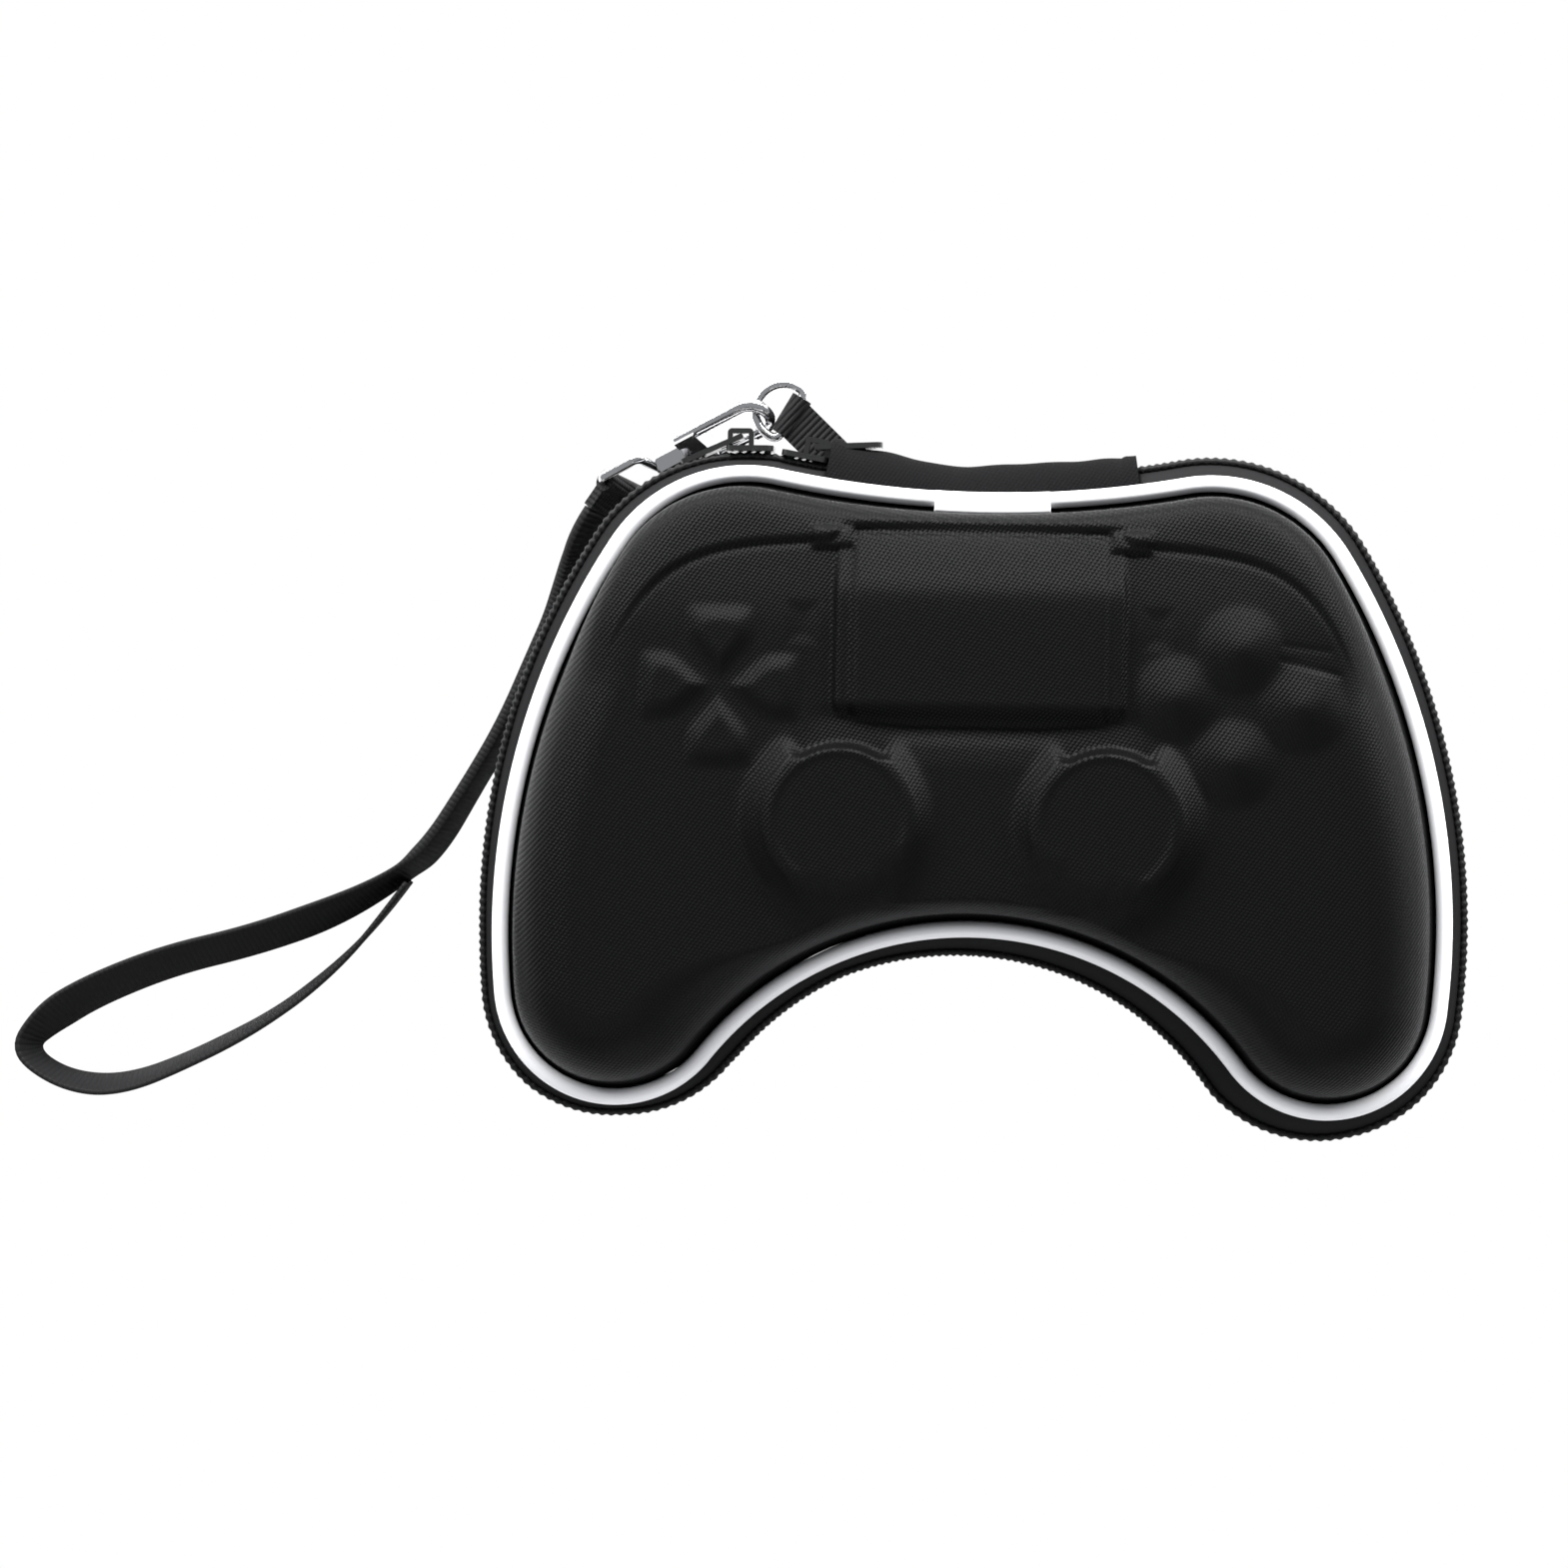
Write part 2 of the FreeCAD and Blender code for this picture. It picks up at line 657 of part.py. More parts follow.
def petals():
    """Four petals round a centre, each a pad that points inwards."""
    body = new_body("petals")
    sketch = new_sketch(body, "petal_plan", "XY_Plane", height=f"{FACE} - root_depth")
    polygon(sketch, [("0", "petal_tip"), ("petal_half", "petal_shoulder"), ("petal_half", "petal_end"),
                     ("-petal_half", "petal_end"), ("-petal_half", "petal_shoulder")])
    block = pad(body, sketch, "petal_block", "petal_rise + root_depth")
    top = formula_value(f"{FACE} + petal_rise")
    rounded = round_edges(body, block, "petal_soft", edges_at(block.Shape, top), "petal_round")
    pattern = body.newObject("PartDesign::PolarPattern", "petal_ring")
    pattern.Originals = [block, rounded]
    pattern.Axis = (sketch, ["N_Axis"])
    pattern.Angle = 360
    pattern.Occurrences = 4
    body.Tip = pattern
    doc.recompute()
    body.Placement = FreeCAD.Placement(V(-1, 1, 0), FreeCAD.Rotation())
    bind(body, "Placement.Base.x", "-petal_x")
    bind(body, "Placement.Base.y", "petal_y")
    return body


# Base shell: a plain tub with a flat underside
def base_shell():
    """Tub on the same outline, rounded underneath, less its hollow."""
    outer = new_body("base_outer")
    sketch = outline_sketch(outer, "base_outline", SHELL_INSET, "0")
    block = pad(outer, sketch, "base_block", BASE_TOP)
    round_edges(outer, block, "base_soft", edges_at(block.Shape, 0), "base_round")
    inner = new_body("base_inner")
    plan = outline_sketch(inner, "base_inner_outline", CAVITY_INSET, "wall")
    hollow = pad(inner, plan, "base_inner_block", "zip_height - wall")
    round_edges(inner, hollow, "base_inner_soft", edges_at(hollow.Shape, size("wall")), "base_round - wall")
    return cut("base_shell", outer, inner)


# Sections carried exactly along runs and arcs
def carry(face, steps):
    """Solid that a face sweeps. A step is a straight vector, or a turn (centre, axis, degrees)."""
    spans = []
    for step in steps:
        if isinstance(step, FreeCAD.Vector):
            spans.append(face.extrude(step))
            face = face.translated(step)
        else:
            spans.append(face.revolve(*step))
            face = face.rotated(*step)
    return spans[0].fuse(spans[1:]) if len(spans) > 1 else spans[0]


def disc(centre, axis, radius):
    """Round face."""
    return Part.Face(Part.Wire(Part.makeCircle(radius, centre, axis)))


def flat(points):
    """Face inside a closed run of points."""
    return Part.Face(Part.makePolygon(points + points[:1]))


def feature(label, shape):
    """A document object that holds a worked-out shape."""
    obj = doc.addObject("Part::Feature", label)
    obj.Label = label
    obj.Shape = shape
    return obj


# Trim that follows the rim: a section at the notch's middle goes round half the rim and is mirrored
def rim_steps(end_x):
    """Turns that lead from the notch's middle round the right half to x = end_x on the dip."""
    rows, joints = outline_points(0)
    dip, shoulder, side, lobe, notch = (rows[key] for key in ("dip", "shoulder", "side", "lobe", "notch"))
    finish = V(end_x, dip[0].y - math.sqrt(dip[1] ** 2 - end_x ** 2), 0)
    stops = [(notch[0], V(0, size("notch_apex"), 0), joints["lobe_notch"]),
             (lobe[0], joints["lobe_notch"], joints["side_lobe"]),
             (side[0], joints["side_lobe"], joints["shoulder_side"]),
             (shoulder[0], joints["shoulder_side"], joints["dip_shoulder"]),
             (dip[0], joints["dip_shoulder"], finish)]
    steps = []
    for centre, start, end in stops:
        turn = math.degrees(angle_of(centre, end) - angle_of(centre, start))
        steps.append((centre, UP, (turn + 180) % 360 - 180))
    return steps


def rim_trim(label, face, end_x):
    """Both halves of a section carried round the rim."""
    half = carry(face, rim_steps(end_x))
    other = half.mirror(V(0, 0, 0), V(1, 0, 0))
    return feature(label, half.fuse(other).removeSplitter())


def rim_point(out, up):
    """Point of a section at the notch's middle, outwards from the piping's centreline."""
    return V(0, size("notch_apex") - out, up)


def piping(label, rim):
    """Round cord all the way round a rim."""
    return rim_trim(label, disc(rim_point(0, rim), V(1, 0, 0), size("piping_radius")), 0)


def dip_arc(face_at, x0, x1):
    """A section carried along the dip from x0 to x1. face_at gives it at the dip's apex."""
    dip, radius = outline_points(0)[0]["dip"]
    first = math.degrees(math.asin(x0 / radius))
    last = math.degrees(math.asin(x1 / radius))
    return face_at.rotated(dip, UP, first).revolve(dip, UP, last - first)


def dip_point(out, up):
    """Point of a section at the dip's apex, outwards from the piping's centreline."""
    return V(0, size("dip_apex") + out, up)


def sleeve(label, rim, way):
    """Clip over the piping's joint: an open ring, with its gap towards the seam."""
    centre = dip_point(0, rim)
    across = V(1, 0, 0)
    outer = disc(centre, across, size("sleeve_radius"))
    inner = disc(centre, across, size("piping_radius") + size("seat_gap") / 2)
    low = -size("sleeve_mouth")
    high = size("sleeve_radius") + 1
    window = flat([dip_point(low, rim), dip_point(0, rim + way * low), dip_point(high, rim + way * low),
                   dip_point(high, rim + way * high), dip_point(low, rim + way * high)])
    ring = outer.cut(inner).common(window)
    middle = size("sleeve_x")
    half = size("sleeve_length") / 2
    return feature(label, dip_arc(ring, middle - half, middle + half))


def spine():
    """Fabric that joins both rims behind the case, with a soft outward fold at the zip's height."""
    half = size("spine_half")
    bulge = size("spine_bulge")
    ply = size("tape_thick")
    upper = tape_levels(1)
    lower = tape_levels(-1)
    seam = -(size("tape_seam") + size("piping_radius"))
    middle = size("zip_height")
    soft = size("spine_soft")
    out = size("turn_out")
    back = size("turn_in")
    inside = soft * 0.7
    outline = [(seam, upper[0]), (out, upper[0]), (bulge, middle + soft), (bulge, middle - soft),
               (out, lower[0]), (seam, lower[0]), (seam, lower[1]), (back, lower[1]),
               (bulge - ply, middle - inside), (bulge - ply, middle + inside),
               (back, upper[1]), (seam, upper[1])]
    return feature("spine_fabric", dip_arc(flat([dip_point(*p) for p in outline]), -half, half))


def tape_levels(way):
    """Heights of the zip tape's seam: the face against the shell, and the other face."""
    face = size("rim_rise") - size("piping_radius") - 2 * size("seat_gap")
    return [size("zip_height") + way * face, size("zip_height") + way * (face - size("tape_thick"))]


def zip_tape(label, way):
    """Tape from the seam under the piping out to the coil. way is 1 for the lid and -1 for the base."""
    face, under = tape_levels(way)
    middle = size("zip_height")
    ply = size("tape_thick")
    height = size("coil_height")
    seam = -(size("tape_seam") + size("piping_radius"))
    inner = size("coil_offset")
    edge = middle + way * size("chain_gap") * 2
    bend_out = middle + way * (height + size("chain_gap") / 2)
    bend_in = middle + way * (height - ply / 2)
    corners = [(seam, face), (size("turn_out"), face), (inner + ply, bend_out), (inner + ply, edge),
               (inner, edge), (inner, bend_in), (size("turn_in"), under), (seam, under)]
    body = rim_trim(label, flat([rim_point(*p) for p in corners]), size("spine_half") + size("hem_gap"))
    return opened(body)


def zip_coil(label, way):
    """Half of the closed chain: a flat bead outside the tape's edge."""
    middle = size("zip_height")
    inner = size("coil_offset") + size("tape_thick") + size("seat_gap") / 2
    outer = inner + size("coil_thick")
    near = middle + way * size("chain_gap") / 2
    far = middle + way * size("coil_height")
    corners = [(inner, near), (outer, near), (outer, far), (inner, far)]
    body = rim_trim(label, flat([rim_point(*p) for p in corners]), size("spine_half") + size("hem_gap"))
    return opened(body)


def opened(body):
    """The chain is parted where a slider's post stands in it."""
    play = size("post_size") / 2 + 2 * size("slider_gap")
    for x, way in SLIDERS:
        middle = way * size("post_reach")
        window = slab(middle - play, middle + play, -size("tape_thick"), 2 * plate_top(), -play, play)
        window.Placement = slider_place(x).multiply(window.Placement)
        body.Shape = body.Shape.cut(window)
    return body


# Sliders at the left shoulder: the place of each along X, and the end that has the post
SLIDERS = ((-size("slider_left_x"), 1), (-size("slider_right_x"), -1))


def slider_place(x):
    """Frame of a slider on the rim at x: X along the zip, Y outwards from the piping's line, Z up."""
    rows, joints = outline_points(0)
    level = size("zip_height")
    if x < -joints["dip_shoulder"].x:
        turn = math.asin((x + size("shoulder_x")) / size("shoulder_radius"))
        spin = FreeCAD.Rotation(UP, -math.degrees(turn))
        centre = V(-size("shoulder_x"), size("shoulder_y"), level)
        return FreeCAD.Placement(centre + spin.multVec(V(0, size("shoulder_radius"), 0)), spin)
    dip, radius = rows["dip"]
    spin = FreeCAD.Rotation(UP, math.degrees(math.asin(x / radius)))
    return FreeCAD.Placement(V(0, dip.y, level) + spin.multVec(V(0, -radius, 0)), spin)


def slab(x0, x1, y0, y1, z0, z1):
    """Block between two corners."""
    return Part.makeBox(x1 - x0, y1 - y0, z1 - z0, V(x0, y0, z0))


def plate_top():
    """How far the slider's outer plate stands out from the piping's line."""
    chain = size("coil_offset") + size("tape_thick") + size("seat_gap") / 2 + size("coil_thick")
    return chain + size("slider_gap") + size("slider_plate")


def slider(label, x, way):
    """Two plates round the chain, joined by the post that parts it, with an arch for the puller."""
    plate = size("slider_plate")
    half = size("slider_length") / 2
    inner_face = size("coil_offset") - size("inner_slack")
    crest = plate_top()
    tall = size("slider_height") / 2
    short = size("inner_plate_half")
    post = size("post_size") / 2
    reach = size("post_reach")
    top = slab(-half, half, crest - plate, crest, -tall, tall)
    corners = [e for e in top.Edges if abs(e.BoundBox.YLength - plate) < 1e-6]
    rounded = top.makeFillet(size("slider_round"), corners)
    back = slab(-reach - post, reach + post, inner_face - plate, inner_face, -short, short)
    pillar = slab(way * reach - post, way * reach + post,
                  inner_face - plate / 2, crest - plate / 2, -post, post)
    middle = -way * size("arch_shift")
    arch_half = size("arch_half")
    wire = size("bridge_wire")
    rise = crest + size("bridge_height")
    arch = slab(middle - arch_half, middle + arch_half,
                crest - plate / 2, rise, -wire * 0.75, wire * 0.75)
    arch = arch.makeFillet(wire * 0.9, [e for e in arch.Edges
                                        if e.BoundBox.YMin > rise - 1e-6 and e.BoundBox.ZLength > 1])
    opening = slab(middle - arch_half + wire, middle + arch_half - wire, crest, rise - wire, -wire, wire)
    shape = rounded.fuse([back, pillar, arch.cut(opening)])
    obj = feature(label, shape.removeSplitter())
    obj.Placement = slider_place(x)
    return obj


def puller(label, x, way, lean):
    """Flat tab, slotted at its root for the arch, with a hole at its end. It points away from the post."""
    long = size("puller_length")
    wide = size("puller_width") / 2
    thick = size("puller_thick")
    root = thick / 2
    slot = size("bridge_wire") * 0.75 + size("slider_gap")
    blade = Part.makeBox(long + root, thick, 2 * wide, V(-root, -thick / 2, -wide))
    tips = [e for e in blade.Edges
            if abs(e.BoundBox.YLength - thick) < 1e-6 and e.BoundBox.XMin > long - 1e-6]
    blade = blade.makeFillet(wide * 0.7, tips)
    opening = slab(root, root + size("arch_half") + size("slot_slack"), -thick, thick, -slot, slot)
    hole = Part.makeCylinder(wide * 0.45, 3 * thick, V(long - wide * 1.1, -1.5 * thick, 0), V(0, 1, 0))
    shape = blade.cut(opening).cut(hole)
    if way > 0:
        shape = shape.mirror(V(0, 0, 0), V(1, 0, 0))
    obj = feature(label, shape)
    pivot = V(-way * size("arch_shift"), plate_top() + size("pivot_rise"), 0)
    obj.Placement = slider_place(x).multiply(FreeCAD.Placement(pivot, FreeCAD.Rotation(UP, lean)))
    print(label, "pivot, mm:", [round(c, 3) for c in obj.Placement.Base])
    return obj


# Webbing tab and D-ring: their frame has its origin at the middle of the ring's bar, X back towards the seam
def webbing_loop(width, ply, wire, tongue):
    """Doubled webbing: a tongue in the XY plane that ends in a sleeve round the Y axis."""
    outer = wire + size("seat_gap") + ply
    roll = Part.makeCylinder(outer, width, V(0, -width / 2, 0), V(0, 1, 0))
    bore = Part.makeCylinder(wire + size("seat_gap"), width + 2, V(0, -width / 2 - 1, 0), V(0, 1, 0))
    return tongue.fuse(roll).cut(bore).removeSplitter()


def bar_level():
    """Height of the ring's bar."""
    return size("zip_height") - size("bar_drop")


def ring_place():
    """Frame of the tab: the ring points away from the case at its heading."""
    spin = FreeCAD.Rotation(UP, size("ring_heading") + 180)
    return FreeCAD.Placement(V(size("bar_x"), size("bar_y"), bar_level()), spin)


def ring_tab():
    """Tab sewn into the seam at the spine's end. It runs askew from the ring's bar and stops at the seam."""
    half = size("tab_width") / 2
    ply = size("tab_ply")
    askew = math.radians(size("tab_heading") - size("ring_heading"))
    back = V(math.cos(askew), math.sin(askew), 0) * size("tab_reach")
    near = V(0, -half, -ply)
    far = V(0, half, -ply)
    tongue = flat([near, near + back, far + back, far]).extrude(V(0, 0, 2 * ply))
    dip, radius = outline_points(0)[0]["dip"]
    middle = ring_place().inverse().multVec(V(dip.x, dip.y, bar_level()))
    outside = Part.makeCylinder(radius - size("tab_root_gap"), 8 * ply, middle - UP * 4 * ply, UP)
    obj = feature("ring_tab", webbing_loop(2 * half, ply, size("ring_wire"), tongue.common(outside)))
    obj.Placement = ring_place()
    return obj


def d_ring():
    """Round wire: a straight bar, two rounded corners, short sides and a half-round bow."""
    wire = size("ring_wire")
    half = size("ring_inside") / 2 + wire
    corner = size("ring_corner")
    straight = size("ring_depth") - corner - half
    steps = [V(0, half - corner, 0), (V(-corner, half - corner, 0), UP, 90), V(-straight, 0, 0),
             (V(-corner - straight, 0, 0), UP, 90)]
    side = carry(disc(V(0, 0, 0), V(0, 1, 0), wire), steps)
    other = side.mirror(V(0, 0, 0), V(0, 1, 0))
    obj = feature("d_ring", side.fuse(other).removeSplitter())
    dip = FreeCAD.Placement(V(0, 0, 0), FreeCAD.Rotation(V(0, 1, 0), -size("ring_dip")))
    obj.Placement = ring_place().multiply(dip)
    return obj


# Snap hook: X runs from the nose to the swivel eye, the hook lies in the XY plane, and the gate is at -Y
def hook_place(roll):
    """Frame of the hook, hung in the ring's bow, with the given roll about its length."""
    wire = size("ring_wire")
    half = size("ring_inside") / 2 + wire
    bow = V(-(size("ring_depth") - half), 0, 0)
    heading = math.radians(size("hook_heading"))
    slope = math.radians(size("hook_slope"))
    contact = math.radians(size("hook_heading") - size("ring_heading") - size("bow_lag"))
    touch = bow + V(-math.cos(contact), -math.sin(contact), 0) * half
    dip = FreeCAD.Placement(V(0, 0, 0), FreeCAD.Rotation(V(0, 1, 0), -size("ring_dip")))
    held = ring_place().multiply(dip).multVec(touch)
    along = V(math.cos(heading) * math.cos(slope), math.sin(heading) * math.cos(slope), -math.sin(slope))
    outward = V(math.sin(heading), -math.cos(heading), 0)
    raised = outward.cross(along)
    lean = math.radians(roll)
    across = outward * math.cos(lean) + raised * math.sin(lean)
    normal = along.cross(across)
    start = held - along * (size("hook_wire") + wire + size("bow_play"))
    return FreeCAD.Placement(FreeCAD.Matrix(
        along.x, across.x, normal.x, start.x,
        along.y, across.y, normal.y, start.y,
        along.z, across.z, normal.z, start.z,
        0, 0, 0, 1))


def x_rod(radius, x0, x1):
    """Cylinder along X."""
    return Part.makeCylinder(radius, x1 - x0, V(x0, 0, 0), V(1, 0, 0))


def snap_hook():
    """Cast hook: round bow and spine, a slotted yoke for the gate, and an eight-sided barrel with a bore."""
    wire = size("hook_wire")
    half = size("hook_half")
    start = size("barrel_start")
    yoke = size("yoke_length")
    joined = start + size("joint_lap")
    steps = [V(half - joined, 0, 0), (V(half, 0, 0), UP, 180), V(size("nose_lap") - half, 0, 0)]
    bow = carry(disc(V(joined, half, 0), V(1, 0, 0), wire), steps)
    pin_x = start - size("pin_back")
    ear = size("yoke_thick")
    front = -half - size("yoke_over")
    block = slab(start - yoke, joined, front, half + wire * 0.6, -ear, ear)
    eye = size("gate_eye") + 4 * size("running_gap")
    cheek = size("gate_wire") + 2 * size("running_gap")
    slot = slab(pin_x - 3 * eye, pin_x + eye, front - 1, eye - half, -cheek, cheek)
    slot = slot.fuse(slab(pin_x, start + 1, front - 1, -half - size("running_gap"), -cheek, cheek))
    pin_hole = Part.makeCylinder(size("gate_pin_radius"), 4 * ear, V(pin_x, -half, -2 * ear), UP)
    radius = size("barrel_radius")
    turns = [math.radians(45 * i + 22.5) for i in range(8)]
    sides = [V(start, radius * math.cos(turn), radius * math.sin(turn)) for turn in turns]
    length = size("barrel_length")
    barrel = flat(sides).extrude(V(length, 0, 0))
    bevel = size("barrel_bevel")
    bevel_x = start + length - bevel
    taper = Part.makeCone(radius + bevel / 2, radius - bevel / 2, bevel, V(bevel_x, 0, 0), V(1, 0, 0))
    ends = x_rod(radius + 1, start - 1, bevel_x).fuse(taper)
    neck = size("neck_length")
    play = size("running_gap")
    hollow = x_rod(size("head_radius") + play, start + size("head_back"), start + length - neck)
    bore = x_rod(size("post_radius") + play, start + length - neck - play, start + length + 1)
    body = bow.fuse([block, barrel.common(ends)]).cut(slot).cut(pin_hole).cut(hollow).cut(bore)
    obj = feature("snap_hook", body.removeSplitter())
    obj.Placement = hook_place(size("hook_roll"))
    return obj


def hook_gate():
    """Sprung gate: a round bar from the pin to the nose, with a thumb tab outside."""
    half = size("hook_half")
    wire = size("gate_wire")
    pin_x = size("barrel_start") - size("pin_back")
    tip = size("nose_lap") + size("gate_gap")
    eye = Part.makeCylinder(size("gate_eye"), 2 * wire, V(pin_x, -half, -wire), UP)
    bar = Part.makeCylinder(wire, pin_x - tip, V(tip, -half, 0), V(1, 0, 0))
    long = size("thumb_length")
    rise = size("thumb_rise")
    thumb = [(-0.2 * long, -0.11 * rise), (0.2 * long, -0.17 * rise), (long, -0.74 * rise),
             (0.96 * long, -rise), (0.08 * long, -0.74 * rise), (-0.23 * long, -0.34 * rise)]
    lever = flat([V(pin_x + x, y - half, -wire) for x, y in thumb]).extrude(V(0, 0, 2 * wire))
    bore = size("gate_pin_radius") + size("running_gap")
    hole = Part.makeCylinder(bore, 4 * wire, V(pin_x, -half, -2 * wire), UP)
    obj = feature("hook_gate", eye.fuse([bar, lever]).cut(hole).removeSplitter())
    obj.Placement = hook_place(size("hook_roll"))
    return obj


def gate_pin():
    """Rivet that the gate turns on, fixed in the yoke's ears."""
    pin_x = size("barrel_start") - size("pin_back")
    ear = size("yoke_thick")
    shape = Part.makeCylinder(size("gate_pin_radius"), 2 * ear, V(pin_x, -size("hook_half"), -ear), UP)
    obj = feature("gate_pin", shape)
    obj.Placement = hook_place(size("hook_roll"))
    return obj


def swivel_eye():
    """Headed post that turns in the barrel, with a wide wire loop for the strap."""
    wire = size("eye_wire")
    half = size("eye_inside") / 2 + wire
    far = size("hook_length")
    near = size("barrel_start") + size("barrel_length") + wire + size("eye_clear")
    corner = size("eye_corner")
    steps = [V(0, half - corner, 0), (V(near + corner, half - corner, 0), UP, -90),
             V(far - near - 2 * corner, 0, 0), (V(far - corner, half - corner, 0), UP, -90),
             V(0, corner - half, 0)]
    side = carry(disc(V(near, 0, 0), V(0, 1, 0), wire), steps)
    loop = side.fuse(side.mirror(V(0, 0, 0), V(0, 1, 0)))
    inside = size("barrel_start") + size("barrel_length") - size("neck_length")
    play = size("running_gap")
    post = x_rod(size("post_radius"), inside - play - size("head_thick") / 2, near)
    head = x_rod(size("head_radius"), inside - play - size("head_thick"), inside - play)
    obj = feature("swivel_eye", loop.fuse([post, head]).removeSplitter())
    obj.Placement = hook_place(size("eye_roll"))
    return obj


def fold_place():
    """Frame of the strap's fold: its origin is the middle of the eye's far bar, and X runs down the strap."""
    bar = FreeCAD.Placement(V(size("hook_length"), 0, 0), FreeCAD.Rotation(V(0, 1, 0), size("fold_turn")))
    return hook_place(size("eye_roll")).multiply(bar)


def strap_fold():
    """End of the strap, folded round the eye's far bar and sewn."""
    ply = size("strap_ply")
    half = size("strap_width") / 2
    tongue = slab(0, size("fold_length"), -half, half, -ply, ply)
    obj = feature("strap_fold", webbing_loop(2 * half, ply, size("eye_wire"), tongue))
    obj.Placement = fold_place()
    return obj


# Strap: a doubled leash, then once round the loop. The points are chosen by hand, seen from above
STRAP_ROUTE = [
    (-83.6, 46.2), (-88.9, 33.5), (-96.8, 15.2), (-105.4, -0.6), (-115.8, -16.9), (-129.6, -25.4),
    (-148.4, -33.3), (-168.0, -39.2), (-184.6, -46.2), (-193.6, -53.4), (-195.4, -61.0), (-189.0, -66.0),
    (-178.5, -65.2), (-163.6, -59.6), (-148.4, -51.0), (-136.2, -42.0), (-126.6, -32.0), (-119.6, -23.4),
]


def wrist_strap():
    """Webbing on its edge: each run is straight, and each corner is as round as its runs allow."""
    place = fold_place()
    reach = size("fold_length") + size("seat_gap")
    start = place.multVec(V(reach, 0, 0))
    along = place.Rotation.multVec(V(1, 0, 0))
    exit_run = size("exit_run")
    knee = start + along * exit_run
    level = size("floor_gap") + size("strap_width") / 2
    points = [V(start.x, start.y, level), V(knee.x, knee.y, level)] + [V(x, y, level) for x, y in STRAP_ROUTE]
    edges, radii = rounded_route(points)
    print("strap arc radii, mm:", " ".join(f"{radius:.1f}" for radius in radii))
    path = Part.Wire(edges)
    print("strap path length, mm:", round(path.Length, 1))
    half = size("strap_width") / 2
    ply = size("strap_ply")
    tangent = (points[1] - points[0]).normalize()
    side = V(-tangent.y, tangent.x, 0)
    corners = [points[0] + side * ply + UP * half, points[0] - side * ply + UP * half,
               points[0] - side * ply - UP * half, points[0] + side * ply - UP * half]
    ribbon = carry(flat(corners), route_steps(edges))
    lead = slab(reach, reach + exit_run, -half * 0.9, half * 0.9, -ply, ply)
    lead.Placement = place.multiply(lead.Placement)
    far = 2 * size("prism_half")
    keep = slab(0, 2 * far, -far, far, -far, far)
    keep.Placement = FreeCAD.Placement(start, FreeCAD.Rotation(V(1, 0, 0), along))
    print("strap start, mm:", [round(c, 2) for c in start], "heading:", [round(c, 3) for c in along])
    solid = ribbon.common(keep).fuse(lead).removeSplitter()
    section = 2 * half * 2 * ply
    print("strap volume over section times length:", round(ribbon.Volume / (section * path.Length), 4))
    return feature("wrist_strap", solid)


def rounded_route(points):
    """Straight runs and tangent arcs: an arc's radius is 0.45 of its shorter run over tan(turn / 2)."""
    edges = []
    radii = []
    last = points[0]
    for before, corner, after in zip(points, points[1:], points[2:]):
        arriving = (corner - before).normalize()
        leaving = (after - corner).normalize()
        turn = arriving.getAngle(leaving)
        trim = size("run_share") * min((corner - before).Length, (after - corner).Length)
        radius = trim / math.tan(turn / 2)
        radii.append(radius)
        first = corner - arriving * trim
        second = corner + leaving * trim
        bisector = (leaving - arriving).normalize()
        middle = corner + bisector * (radius / math.cos(turn / 2) - radius)
        edges.append(Part.LineSegment(last, first).toShape())
        edges.append(Part.Arc(first, middle, second).toShape())
        last = second
    edges.append(Part.LineSegment(last, points[-1]).toShape())
    return edges, radii


def route_steps(edges):
    """The same route as steps for carry."""
    steps = []
    for edge in edges:
        if isinstance(edge.Curve, Part.Line):
            steps.append(edge.Vertexes[-1].Point - edge.Vertexes[0].Point)
            continue
        circle = edge.Curve
        start = edge.valueAt(edge.FirstParameter)
        end = edge.valueAt(edge.LastParameter)
        turn = math.degrees(angle_of(circle.Center, end) - angle_of(circle.Center, start))
        steps.append((circle.Center, UP, (turn + 180) % 360 - 180))
    return steps


hook_axes = hook_place(0)
print("hook origin, mm:", [round(c, 3) for c in hook_axes.Base])
print("hook axis:", [round(c, 5) for c in hook_axes.Rotation.multVec(V(1, 0, 0))])
gate_turn = hook_place(size("hook_roll"))
gate_pivot = gate_turn.multVec(V(size("barrel_start") - size("pin_back"), -size("hook_half"), 0))
print("gate pivot, mm:", [round(c, 3) for c in gate_pivot])
print("gate axis:", [round(c, 5) for c in gate_turn.Rotation.multVec(UP)])
lid = lid_shell()
base = base_shell()
pieces = [
    lid, base,
    piping("lid_piping", size("zip_height") + size("rim_rise")),
    piping("base_piping", size("zip_height") - size("rim_rise")),
    sleeve("lid_piping_sleeve", size("zip_height") + size("rim_rise"), 1),
    sleeve("base_piping_sleeve", size("zip_height") - size("rim_rise"), -1),
    zip_tape("lid_zip_tape", 1), zip_tape("base_zip_tape", -1),
    zip_coil("lid_zip_coil", 1), zip_coil("base_zip_coil", -1),
    spine(),
    slider("left_slider", *SLIDERS[0]), slider("right_slider", *SLIDERS[1]),
    puller("left_puller", *SLIDERS[0], size("left_lean")),
    puller("right_puller", *SLIDERS[1], size("right_lean")),
    ring_tab(), d_ring(), snap_hook(), hook_gate(), gate_pin(), swivel_eye(), strap_fold(), wrist_strap(),
]
doc.removeObject("formula_probe")
doc.recompute()
failed = [obj.Name for obj in doc.Objects if "Invalid" in obj.State or "Error" in obj.State]
if failed:
    raise RuntimeError(f"features that failed: {failed}")
for piece in pieces:
    shape = piece.Shape
    if shape.isNull() or not shape.isValid() or len(shape.Solids) != 1:
        failed.append(piece.Label)
if failed:
    raise RuntimeError(f"pieces that aren't one valid solid: {failed}")
os.makedirs("parts", exist_ok=True)
